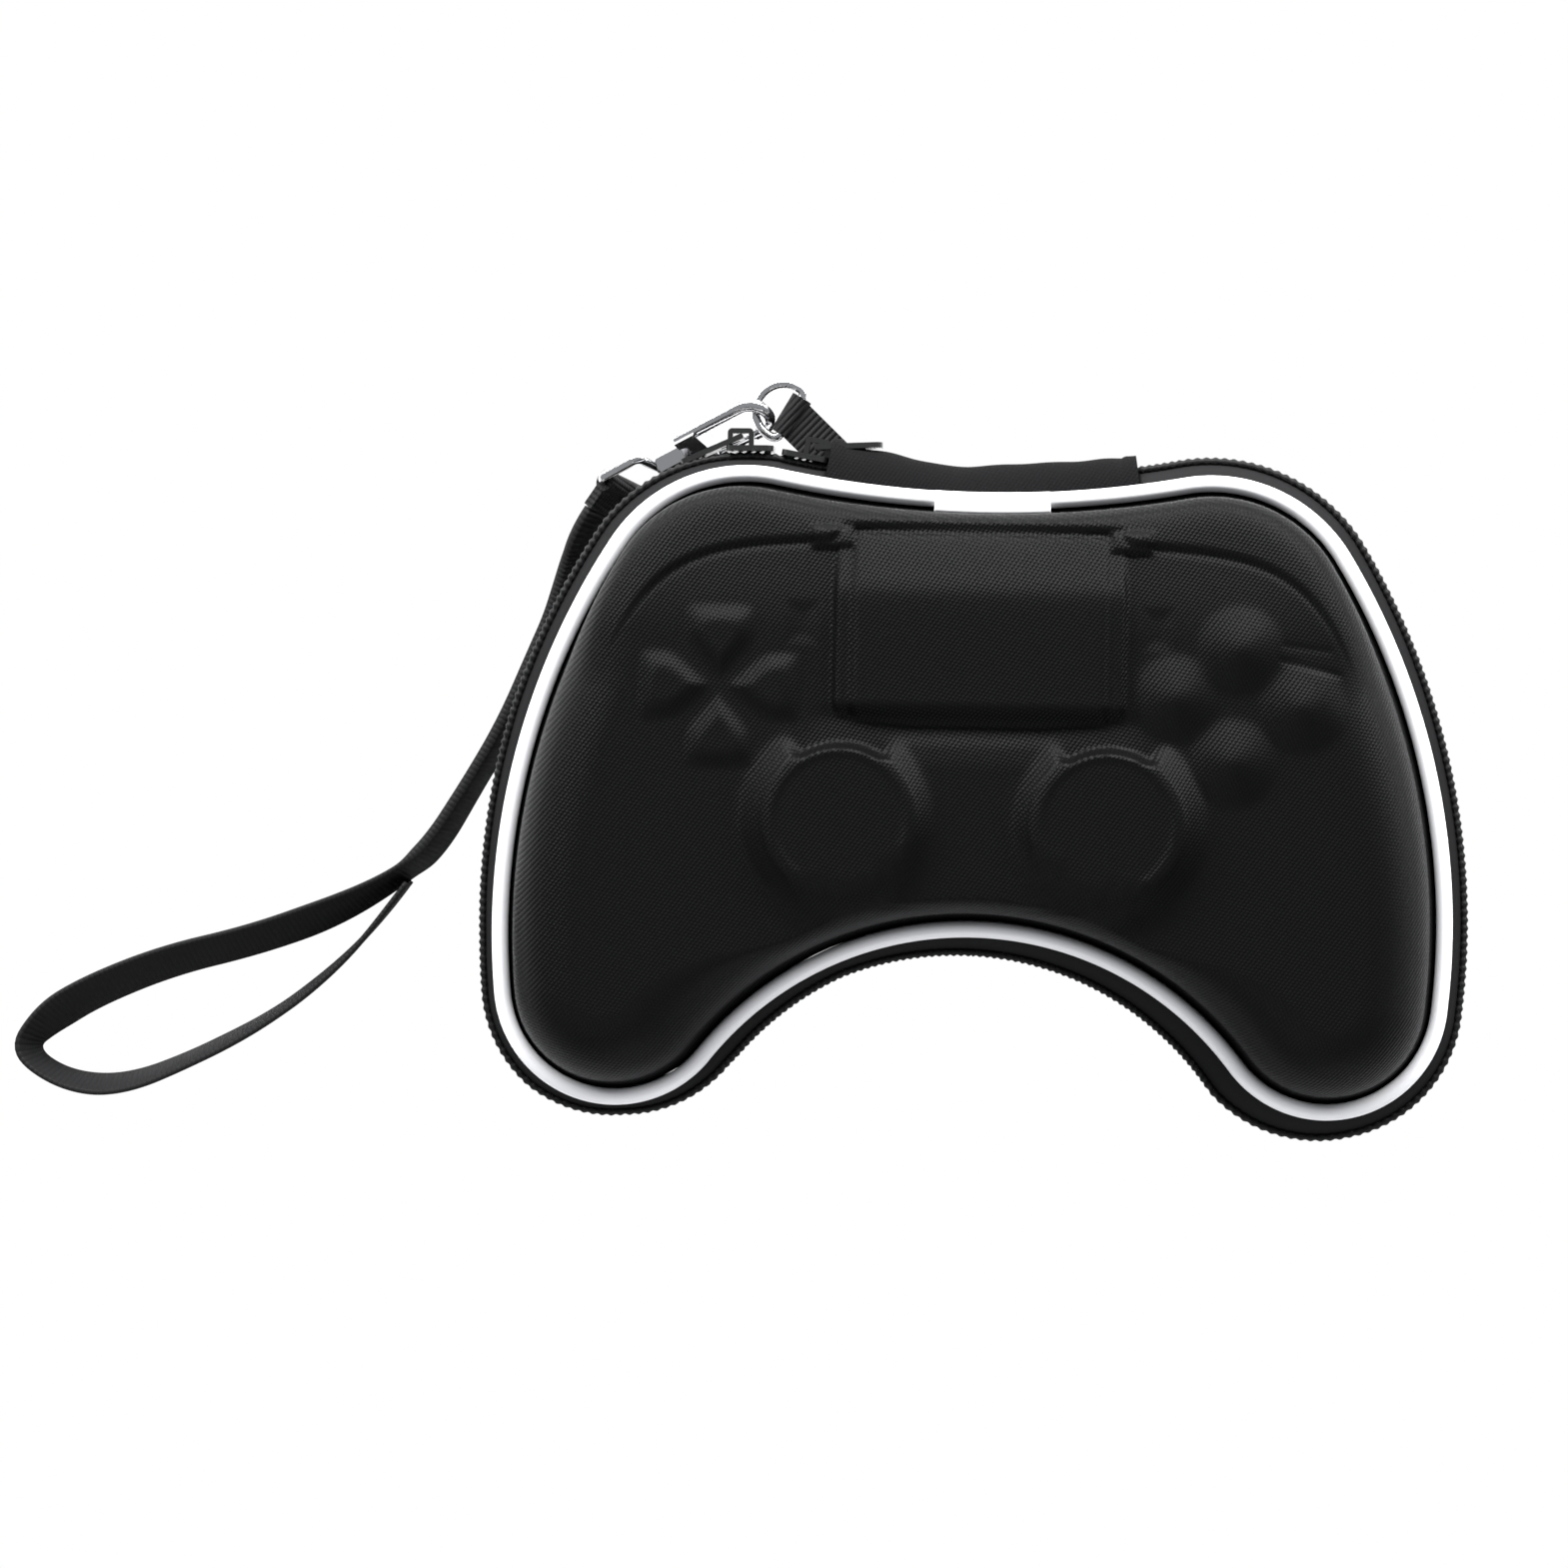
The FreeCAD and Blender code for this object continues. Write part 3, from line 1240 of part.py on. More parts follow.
for piece in pieces:
    piece.Shape.exportStep(f"parts/{piece.Label}.step")
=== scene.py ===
"""Controller carrying case from straight above: twill lid, pale piping, coil zip and folded strap."""
import json
import math

import bpy
import numpy as np
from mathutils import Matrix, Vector


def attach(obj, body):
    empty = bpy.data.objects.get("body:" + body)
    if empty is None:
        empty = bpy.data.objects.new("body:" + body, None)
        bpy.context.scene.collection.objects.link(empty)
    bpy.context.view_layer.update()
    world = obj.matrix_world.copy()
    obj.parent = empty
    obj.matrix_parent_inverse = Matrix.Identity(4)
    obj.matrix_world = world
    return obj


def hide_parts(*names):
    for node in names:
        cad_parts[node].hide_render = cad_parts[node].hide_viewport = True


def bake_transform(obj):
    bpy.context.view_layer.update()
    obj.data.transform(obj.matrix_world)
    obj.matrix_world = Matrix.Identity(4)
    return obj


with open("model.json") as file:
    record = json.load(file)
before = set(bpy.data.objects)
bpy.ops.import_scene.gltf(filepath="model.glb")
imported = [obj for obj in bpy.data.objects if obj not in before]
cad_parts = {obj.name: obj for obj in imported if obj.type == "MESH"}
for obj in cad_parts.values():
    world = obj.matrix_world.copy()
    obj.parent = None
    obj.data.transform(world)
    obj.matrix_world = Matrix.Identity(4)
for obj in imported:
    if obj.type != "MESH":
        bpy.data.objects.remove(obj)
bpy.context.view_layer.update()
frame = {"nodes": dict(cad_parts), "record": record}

MM = 0.001


# Shader graphs
class Val:
    """One output socket of a shader graph, with the usual operators as Math nodes."""

    def __init__(self, graph, socket):
        self.graph = graph
        self.socket = socket

    def maths(self, operation, *others):
        """A Math node on this value and the others."""
        node = self.graph.nodes.new("ShaderNodeMath")
        node.operation = operation
        for i, item in enumerate((self, *others)):
            connect(self.graph, item, node.inputs[i])
        return Val(self.graph, node.outputs[0])

    def __add__(self, other):
        return self.maths("ADD", other)

    def __mul__(self, other):
        return self.maths("MULTIPLY", other)

    def sin(self):
        return self.maths("SINE")

    def size(self):
        return self.maths("ABSOLUTE")

    @classmethod
    def node(cls, graph, kind, output=0, inputs=()):
        """Any other node: pairs of its sockets and what goes in, and the name or number of its output."""
        node = graph.nodes.new(kind)
        for key, value in inputs:
            connect(graph, value, node.inputs[key])
        return cls(graph, node.outputs[output])


def connect(graph, value, socket):
    """Link a value to a socket, or set the socket to a constant."""
    if isinstance(value, Val):
        graph.links.new(value.socket, socket)
    else:
        socket.default_value = value


class Paint:
    """A material and its Principled shader."""

    def __init__(self, name, colour, roughness, metallic=0.0, **more):
        self.material = bpy.data.materials.new(name)
        self.material.use_nodes = True
        self.graph = self.material.node_tree
        self.shader = self.graph.nodes["Principled BSDF"]
        self.put("Base Color", (*colour, 1.0))
        self.put("Roughness", roughness)
        self.put("Metallic", metallic)
        for key, value in more.items():
            self.put(key.replace("_", " "), value)

    def put(self, key, value):
        """A value or a constant on one of the shader's own sockets."""
        connect(self.graph, value, self.shader.inputs[key])

    def coordinates(self, kind):
        """The parts of the Object or UV coordinates."""
        where = Val.node(self.graph, "ShaderNodeTexCoord", kind)
        parts = Val.node(self.graph, "ShaderNodeSeparateXYZ", 0, [("Vector", where)])
        return [Val(self.graph, socket) for socket in parts.socket.node.outputs]

    def place(self):
        """x, y and z in millimetres, in the frame."""
        return [part * (1 / MM) for part in self.coordinates("Object")]

    def bump(self, height, depth):
        """Raised relief: height from 0 to 1 stands depth out, in millimetres."""
        inputs = [("Strength", 1.0), ("Distance", depth * MM), ("Height", height)]
        self.put("Normal", Val.node(self.graph, "ShaderNodeBump", 0, inputs))


# Finishes
TWILL_PITCH = 0.7
TWILL_LEAN = math.radians(52)
TWILL_DEPTH = 0.11
TWILL_DRIFT = 0.2
TWILL_BREAK = 0.2
RIB_PITCH = 1.1
RIB_DEPTH = 0.12
FOLD_RIB_DEPTH = 0.3
THREAD_PITCH = 0.6
THREAD_DEPTH = 0.35
SHELL_BLACK = (0.0022, 0.0022, 0.0023)
SPINE_BLACK = (0.004, 0.004, 0.0043)
TAPE_BLACK = (0.009, 0.009, 0.0095)
COIL_BLACK = (0.005, 0.005, 0.0054)
ENAMEL_BLACK = (0.006, 0.006, 0.006)
PIPING_WHITE = (0.88, 0.88, 0.9)
SLEEVE_WHITE = (0.86, 0.86, 0.87)
CHROME_GREY = (0.55, 0.55, 0.56)


def twill(name, colour, roughness):
    """Diagonal ribs that lean right: the size of a sine across them, cut by a shallower sine along them.
    Height shifts the first sine, so that the ribs carry on down the walls."""
    paint = Paint(name, colour, roughness, Specular_IOR_Level=0.07)
    x, y, z = paint.place()
    c, s = math.cos(TWILL_LEAN), math.sin(TWILL_LEAN)
    across = (x * -s + y * c + z * TWILL_DRIFT) * (math.pi / TWILL_PITCH)
    along = (x * c + y * s) * (2 * math.pi / TWILL_PITCH) + across
    paint.bump(across.sin().size() * (along.sin() * TWILL_BREAK + (1 - TWILL_BREAK)), TWILL_DEPTH)
    return paint.material


def webbing(name, depth, way=None):
    """Webbing with ribs across it: the size of a sine along the strap, cut by the threads' finer sine across
    it. The ribs follow the first UV coordinate, in millimetres, or on a short piece without UV the run along
    a fixed way."""
    paint = Paint(name, TAPE_BLACK, 0.6, Specular_IOR_Level=0.1)
    if way:
        x, y, v = paint.place()
        u = x * way[0] + y * way[1]
    else:
        u, v = paint.coordinates("UV")[:2]
    rib = (u * (math.pi / RIB_PITCH)).sin().size()
    thread = (v * (math.pi / THREAD_PITCH)).sin().size() * THREAD_DEPTH + (1 - THREAD_DEPTH)
    paint.bump(rib * thread, depth)
    return paint.material


TWILL = twill("twill", SHELL_BLACK, 0.42)
SPINE = twill("spine_cloth", SPINE_BLACK, 0.8)
PIPING = Paint("piping", PIPING_WHITE, 0.35).material
SLEEVE = Paint("sleeve", SLEEVE_WHITE, 0.3).material
TAPE = Paint("tape", TAPE_BLACK, 0.75, Specular_IOR_Level=0.1).material
COIL = Paint("coil", COIL_BLACK, 0.5, Specular_IOR_Level=0.15).material
ENAMEL = Paint("enamel", ENAMEL_BLACK, 0.3, Coat_Weight=0.3).material
CHROME = Paint("chrome", CHROME_GREY, 0.14, 1.0).material
WEBBING = webbing("webbing", RIB_DEPTH)
FINISH = {"shell_fabric": TWILL, "piping": PIPING, "sleeve": SLEEVE, "zip_tape": TAPE, "coil": COIL,
          "spine_cloth": SPINE, "black_enamel": ENAMEL, "webbing": WEBBING, "bright_metal": CHROME}
# The tab and the fold have no UV: their ribs follow the way that each one runs
OWN_FINISH = {"ring_tab": webbing("tab_webbing", FOLD_RIB_DEPTH, (-0.725, 0.688)),
              "strap_fold": webbing("fold_webbing", FOLD_RIB_DEPTH, (-0.56, -0.816))}
for part in frame["record"]["subparts"]:
    node = frame["nodes"][part["node"]]
    node.data.materials.clear()
    node.data.materials.append(OWN_FINISH.get(part["node"], FINISH[part["material_slot"]]))


# Surfaces
def mesh_object(name, points, faces, material, uv=None):
    """Object from points in millimetres and lists of faces, each list an array with a face a row."""
    sizes = np.concatenate([np.full(len(group), group.shape[1]) for group in faces])
    loops = np.concatenate([group.reshape(-1) for group in faces])
    mesh = bpy.data.meshes.new(name)
    mesh.vertices.add(len(points))
    mesh.vertices.foreach_set("co", (points.reshape(-1) * MM).astype(np.float32))
    mesh.loops.add(len(loops))
    mesh.loops.foreach_set("vertex_index", loops.astype(np.int32))
    mesh.polygons.add(len(sizes))
    mesh.polygons.foreach_set("loop_start", np.concatenate([[0], np.cumsum(sizes)[:-1]]).astype(np.int32))
    mesh.polygons.foreach_set("loop_total", sizes.astype(np.int32))
    mesh.polygons.foreach_set("use_smooth", np.ones(len(sizes), bool))
    if uv is not None:
        layer = mesh.uv_layers.new(name="UVMap")
        layer.data.foreach_set("uv", uv.reshape(-1, 2)[loops].reshape(-1).astype(np.float32))
    mesh.update()
    mesh.validate()
    obj = bpy.data.objects.new(name, mesh)
    bpy.context.scene.collection.objects.link(obj)
    mesh.materials.append(material)
    return obj


def grid(rows, columns, wrap=(False, False)):
    """Quads between neighbours of a grid whose points are numbered row by row."""
    i, j = np.meshgrid(np.arange(rows - (not wrap[0])), np.arange(columns - (not wrap[1])), indexing="ij")
    here = i * columns + j
    beside = i * columns + (j + 1) % columns
    above = (i + 1) % rows * columns + j
    corner = (i + 1) % rows * columns + (j + 1) % columns
    return np.stack([here, beside, corner, above], axis=-1).reshape(-1, 4)


def surface(name, points, material, wrap=(False, False), caps=False, uv=None, flip=False):
    """Grid of points (rows, columns, 3), in millimetres, as one mesh object. wrap joins the last row or
    column to the first, caps closes the two ends of a wrapped grid, and flip turns the faces round."""
    rows, columns = points.shape[:2]
    faces = [grid(rows, columns, wrap)]
    if caps:
        faces.append(np.arange(columns)[::-1][None])
        faces.append(((rows - 1) * columns + np.arange(columns))[None])
    if flip:
        faces = [group[:, ::-1] for group in faces]
    return mesh_object(name, points.reshape(-1, 3), faces, material, uv)


def unit(vectors):
    """Vectors scaled to length 1."""
    return vectors / np.linalg.norm(vectors, axis=-1, keepdims=True)


def blended(x, xs, ys):
    """Piecewise curve through (xs, ys) with smooth steps."""
    share = np.interp(x, xs, np.arange(len(xs)))
    low = np.clip(share.astype(int), 0, len(xs) - 2)
    t = share - low
    t = t * t * (3 - 2 * t)
    ys = np.asarray(ys, float)
    return ys[low] * (1 - t) + ys[low + 1] * t


def smooth(x, low, high):
    """0 below low, 1 above high, smoothstep between."""
    t = np.clip((x - low) / (high - low), 0, 1)
    return t * t * (3 - 2 * t)


def higher(a, b, soft):
    """The larger of two, with their crossing rounded off."""
    return (a + b + np.sqrt((a - b) ** 2 + soft ** 2)) / 2


def lower(a, b, soft):
    """The smaller of two, with their crossing rounded off."""
    return (a + b - np.sqrt((a - b) ** 2 + soft ** 2)) / 2


def squared(wave, power):
    """A sine or cosine raised to a power below 1 with its sign kept: it turns a round into a rounded box."""
    return np.sign(wave) * np.abs(wave) ** power


# Rim: notch, lobe, side, shoulder and dip arcs on the right, mirrored on the left
SHOULDER = np.array([46.1, 31.5])
SHOULDER_RADIUS = 30.5
LOBE = np.array([70.5, -39.6])
LOBE_RADIUS = 22.4
SIDE_RADIUS = 140.9
DIP_APEX = 57.6
NOTCH_APEX = -27.3
ARC_STEP = 0.25
ZIP_LEVEL = 36.0
LID_RIM = 42.5
BASE_RIM = 29.5


def tangent_radius(centre, radius, rise):
    """Radius of an arc centred on the Y axis that touches a circle and whose apex is rise above the
    circle's centre."""
    return (centre[0] ** 2 + rise ** 2 - radius ** 2) / (2 * (radius - rise))


DIP_RADIUS = tangent_radius(SHOULDER, SHOULDER_RADIUS, DIP_APEX - SHOULDER[1])
NOTCH_RADIUS = tangent_radius(LOBE, LOBE_RADIUS, -(NOTCH_APEX - LOBE[1]))


def side_centre():
    """Centre of the long side arc, which holds the shoulder's and the lobe's circles inside it."""
    span = LOBE - SHOULDER
    reach = np.linalg.norm(span)
    to_shoulder = SIDE_RADIUS - SHOULDER_RADIUS
    to_lobe = SIDE_RADIUS - LOBE_RADIUS
    along = (to_shoulder ** 2 - to_lobe ** 2 + reach ** 2) / (2 * reach)
    across = math.sqrt(to_shoulder ** 2 - along ** 2)
    way = span / reach
    return SHOULDER + way * along + np.array([way[1], -way[0]]) * across


def outline():
    """Close points of the rim's centreline, anticlockwise from the notch's middle, and outward normals."""
    dip = np.array([0, DIP_APEX + DIP_RADIUS])
    notch = np.array([0, NOTCH_APEX - NOTCH_RADIUS])
    side = side_centre()
    up = np.array([0.0, 1.0])
    arcs = [(notch, NOTCH_RADIUS, -1, up, LOBE - notch),
            (LOBE, LOBE_RADIUS, 1, notch - LOBE, LOBE - side),
            (side, SIDE_RADIUS, 1, LOBE - side, SHOULDER - side),
            (SHOULDER, SHOULDER_RADIUS, 1, SHOULDER - side, dip - SHOULDER),
            (dip, DIP_RADIUS, -1, SHOULDER - dip, -up)]
    points = []
    normals = []
    for centre, radius, out, first, last in arcs:
        start = math.atan2(first[1], first[0])
        turn = (math.atan2(last[1], last[0]) - start + math.pi) % (2 * math.pi) - math.pi
        count = max(int(abs(turn) * radius / ARC_STEP), 8)
        angle = start + turn * np.linspace(0, 1, count, endpoint=False)
        ray = np.stack([np.cos(angle), np.sin(angle)], axis=-1)
        points.append(centre + ray * radius)
        normals.append(ray * out)
    right = np.concatenate(points)
    facing = np.concatenate(normals)
    apex = np.array([[0.0, DIP_APEX]])
    mirror = np.array([-1.0, 1.0])
    return (np.concatenate([right, apex, right[:0:-1] * mirror]),
            np.concatenate([facing, up[None], facing[:0:-1] * mirror]))


RIM, RIM_OUT = outline()
RIM_LENGTH = float(np.linalg.norm(np.roll(RIM, -1, axis=0) - RIM, axis=1).sum())


def loop(count, inset=0.0, start=0.0):
    """Points of the rim, its normals and their runs, even along the line inset from it. start is in
    spacings."""
    line = RIM - RIM_OUT * inset
    line = np.concatenate([line, line[:1]])
    run = np.concatenate([[0], np.cumsum(np.linalg.norm(np.diff(line, axis=0), axis=1))])
    stops = (np.arange(count) + start) % count * run[-1] / count
    closed = np.concatenate([RIM, RIM[:1]])
    out = np.concatenate([RIM_OUT, RIM_OUT[:1]])
    points = np.stack([np.interp(stops, run, closed[:, k]) for k in range(2)], axis=-1)
    normals = unit(np.stack([np.interp(stops, run, out[:, k]) for k in range(2)], axis=-1))
    return points, normals, stops


# Lid: a rounded cushion on the rim, with the controller's forms pressed into its top
LID_FOOT = 40.75
LID_SPRING = 46.5
LID_TOP = 62.5
WALL_INSET = 1.75
WALL_LEAN = 1.5
TOP_INSET = 16.0
ROUND_DEEP = 15.6
ROUND_NOTCH = 5.2
SQUARER_BACK = 3.2
SKIN = 3.0
ROUND_FRONT = (14, 24)
ROUND_SIDE = (30, 54)
SQUARER_AT = (22, 52)
LID_COUNT = 840
# The share of its length, from the notch's middle, where the lid's loop is split into two halves
LID_SPLIT = 0.756
# Forms on the lid, from their own middle line. A pair is the two ends of a smooth step, but PETALS and
# BUTTONS are centres, TOWERS the X of the two towers, and PETAL_SLANT how steeply a petal's point widens
FORMS_X = 1.0
FACE_FALL = 3.4
FACE_BACK = (30, 62)
LINE_Y = 48.4
LINE_BOW = 2.2
LINE_BOW_HALF = 60
LINE_CORNER = 3.6
LINE_CORNER_HALF = 58
LINE_SETBACK = 2.6
LINE_PAD = (26.5, 29.5)
LINE_FADE = (62, 74)
LINE_CREASE = 0.35
LINE_CREASE_WIDTH = 0.8
STEP_RISE = 0.7
STEP_FLANK = (-0.3, 1.5)
# Middle and half sizes of the blocks and of the dents, mirrored about the middle line
BLOCK = (28.9, 48.8, 4.2, 2.2)
BLOCK_EDGE = (-0.9, 0.3)
BLOCK_RISE = 1.3
DENT = (34.4, 32.0, 2.4, 3.6)
DENT_EDGE = (-2.0, 1.2)
DENT_DEPTH = 0.35
BAR_FRONT = (49.4, 51.2)
BAR_END = (25, 27)
BAR_RISE = 0.9
PAD_TOP = 65.1
PAD_DROP = 2.8
PAD_FRONT = (11.4, 17.2)
PAD_HALF = 28.9
PAD_BEND = 38.6
PAD_BEND_SOFT = 2.0
PAD_SLOPE = 0.36
PAD_BACK = 49.4
PAD_BACK_SLOPE = 2
TOP_BEVEL = 0.9
TOP_BEVEL_AT = (3.6, 5.2)
FOOT_BEVEL = 3.2
FOOT_BEVEL_AT = (-0.6, 1.6)
PETALS = (-50.2, 19.4)
PETAL_HALF = 6.5
PETAL_END = 15.4
PETAL_TIP = 2.2
PETAL_SLANT = (5.2, 4.9)
PETAL_SLANT_LENGTH = 7.145
PETAL_SOFT = 1.4
PETAL_BEVEL = (-0.9, 2.8)
PETAL_RISE = 1.26
BUTTONS = ((50.4, 28.3), (38.0, 18.7), (62.6, 17.4), (49.4, 6.6))
BUTTON_RADIUS = 7.6
BUTTON_RISE = 2.5
BUTTON_PEAK = 1.16
BUTTON_TIP_SOFT = 0.05
BUTTON_FOOT_SOFT = 0.25
BRIDGE_RISE = 0.9
BRIDGE_BACK = (-13.5, -4.0)
BRIDGE_SIDE = (8, 26)
VALLEY_DEPTH = 0.6
VALLEY_FRONT = (8, 13)
VALLEY_BACK = (13, 17)
VALLEY_SIDE = (26, 34)
TOWERS = (-26.2, 25.4)
TOWER_Y = -6.0
TOWER_FOOT = 20.2
TOWER_SINK = 0.4
CONE_WIDTH = 6.0
CONE_RISE = 3.9
CONE_SINK = 2.9
CONE_SINK_TURN = (0.52, 0.7)
CAP_WALL = 7.0
CAP_WALL_AT = (11.6, 15.4)
CAP_RISE = 3.4
CAP_RADIUS = 13.2
CAP_LIP = 0.3
CAP_LIP_WIDTH = 0.7
# Creases: the two ends of each and its depth, beside the top button and across the bridge
CREASES = ((58.5, 26.5, 69.5, 24.0, 0.28), (59.0, 29.5, 67.5, 28.5, 0.2),
           (-14.0, -17.8, 16.0, -18.4, 0.22), (-18.0, -22.6, 20.0, -23.0, 0.2))
CREASE_WIDTH = 0.55


def beyond(x, y, form):
    """How far a place lies outside an upright rectangle (middle and half sizes), negative inside it."""
    middle_x, middle_y, half_x, half_y = form
    return np.maximum(np.abs(x - middle_x) - half_x, np.abs(y - middle_y) - half_y)


def face_and_hood(ax, y):
    """The face falls smoothly to the back. A thin crease and a low step part it from the hood along a curved
    line, which drops with the second and the eighth power of x and stands further back at the pad. Both
    fade out at the sides."""
    line = LINE_Y - LINE_BOW * (ax / LINE_BOW_HALF) ** 2 - LINE_CORNER * (ax / LINE_CORNER_HALF) ** 8
    line = line + LINE_SETBACK * (1 - smooth(ax, *LINE_PAD))
    fade = 1 - smooth(ax, *LINE_FADE)
    step = STEP_RISE * smooth(y - line, *STEP_FLANK)
    crease = LINE_CREASE * np.exp(-((y - line) / LINE_CREASE_WIDTH) ** 2)
    return LID_TOP - FACE_FALL * smooth(y, *FACE_BACK) + (step - crease) * fade


def blocks_and_bar(ax, y):
    """A small block beside each back corner of the pad, and a low bar behind the pad."""
    block = BLOCK_RISE * (1 - smooth(beyond(ax, y, BLOCK), *BLOCK_EDGE))
    bar = BAR_RISE * smooth(y, *BAR_FRONT) * (1 - smooth(ax, *BAR_END))
    return block + bar


def touch_pad(ax, y):
    """Level pad with a soft front edge, two bevels at each side, and a slope from a bend to its back edge,
    behind which it falls steeply."""
    front = PAD_DROP * (1 - smooth(y, *PAD_FRONT))
    slope = PAD_SLOPE * higher(y - PAD_BEND, 0 * y, PAD_BEND_SOFT)
    edge = PAD_HALF - ax
    top_bevel = TOP_BEVEL * (1 - smooth(edge, *TOP_BEVEL_AT))
    foot_bevel = FOOT_BEVEL * (1 - smooth(edge, *FOOT_BEVEL_AT))
    pad = PAD_TOP - front - slope - top_bevel - foot_bevel
    return np.where(y > PAD_BACK, pad - (y - PAD_BACK) * PAD_BACK_SLOPE, pad)


def petal(x, y, turn):
    """One pentagon petal round its pad's centre, its point inwards, with a wide bevel: a smooth step of how
    deep a place lies inside its sides, its end and the slanted sides of its point."""
    c, s = math.cos(turn), math.sin(turn)
    u = np.abs(x * c + y * s)
    v = -x * s + y * c
    tip = (u * PETAL_SLANT[0] - (v - PETAL_TIP) * PETAL_SLANT[1]) / PETAL_SLANT_LENGTH
    depth = -higher(higher(u - PETAL_HALF, v - PETAL_END, PETAL_SOFT), tip, PETAL_SOFT)
    return PETAL_RISE * smooth(depth, *PETAL_BEVEL)


def button(x, y, centre):
    """Tented round button: a cone with a soft tip and foot."""
    r = np.hypot(x - centre[0], y - centre[1])
    cone = BUTTON_RISE * (BUTTON_PEAK - np.sqrt((r / BUTTON_RADIUS) ** 2 + BUTTON_TIP_SOFT))
    return higher(cone, 0 * cone, BUTTON_FOOT_SOFT) - 0.03


def bridge(ax, y):
    """A low rise between the stick towers, and a shallow valley between it and the pad."""
    rise = BRIDGE_RISE * smooth(-y, *BRIDGE_BACK) * (1 - smooth(ax, *BRIDGE_SIDE))
    valley = VALLEY_DEPTH * smooth(y, *VALLEY_FRONT) * (1 - smooth(y, *VALLEY_BACK))
    return rise - valley * (1 - smooth(ax, *VALLEY_SIDE))


def tower(x, y, middle):
    """Stick tower: a level cap with a thin lip on a straight cone. Towards the pad the cone sinks into a
    valley, and a steep wall carries the cap."""
    r = np.hypot(x - middle, y - TOWER_Y)
    sunk = 1 - smooth(np.arctan2(np.abs(x - middle), y - TOWER_Y), *CONE_SINK_TURN)
    cone = (CONE_RISE - CONE_SINK * sunk) * (TOWER_FOOT - r) / CONE_WIDTH
    wall = CAP_WALL * (1 - smooth(r, *CAP_WALL_AT))
    cap = LID_TOP + CAP_RISE + CAP_LIP * np.exp(-((r - CAP_RADIUS) / CAP_LIP_WIDTH) ** 2)
    return lower(LID_TOP - TOWER_SINK + cone + wall, cap, 0.3)


def creases(x, y):
    """Depth of the tension creases: a bell curve of the distance to each crease's line."""
    depth = 0 * x
    for x0, y0, x1, y1, deep in CREASES:
        dx, dy = x1 - x0, y1 - y0
        along = np.clip(((x - x0) * dx + (y - y0) * dy) / (dx ** 2 + dy ** 2), 0, 1)
        off = np.hypot(x - x0 - along * dx, y - y0 - along * dy)
        depth = depth + deep * np.exp(-(off / CREASE_WIDTH) ** 2)
    return depth


def lid_relief(x, y):
    """Height of the lid's top: the face and the hood, and the controller's forms on them. What is taken off
    after each soft crossing makes up for the little that the crossing adds."""
    x = x - FORMS_X
    ax = np.abs(x)
    height = face_and_hood(ax, y) + blocks_and_bar(ax, y)
    height = higher(height, touch_pad(ax, y), 0.35) - 0.05
    height = height - DENT_DEPTH * (1 - smooth(beyond(ax, y, DENT), *DENT_EDGE))
    for quarter in range(4):
        height = height + petal(x - PETALS[0], y - PETALS[1], quarter * math.pi / 2)
    for centre in BUTTONS:
        height = height + button(x, y, centre)
    height = height + bridge(ax, y)
    for middle in TOWERS:
        height = higher(height, tower(x, y, middle), 0.5) - 0.02
    return height - creases(x, y)


def round_depth(points):
    """How far in from the wall the top begins: less along the notch, where the sticks' block stands."""
    front = smooth(-points[:, 1], *ROUND_FRONT) * (1 - smooth(np.abs(points[:, 0]), *ROUND_SIDE))
    return ROUND_DEEP - (ROUND_DEEP - ROUND_NOTCH) * front


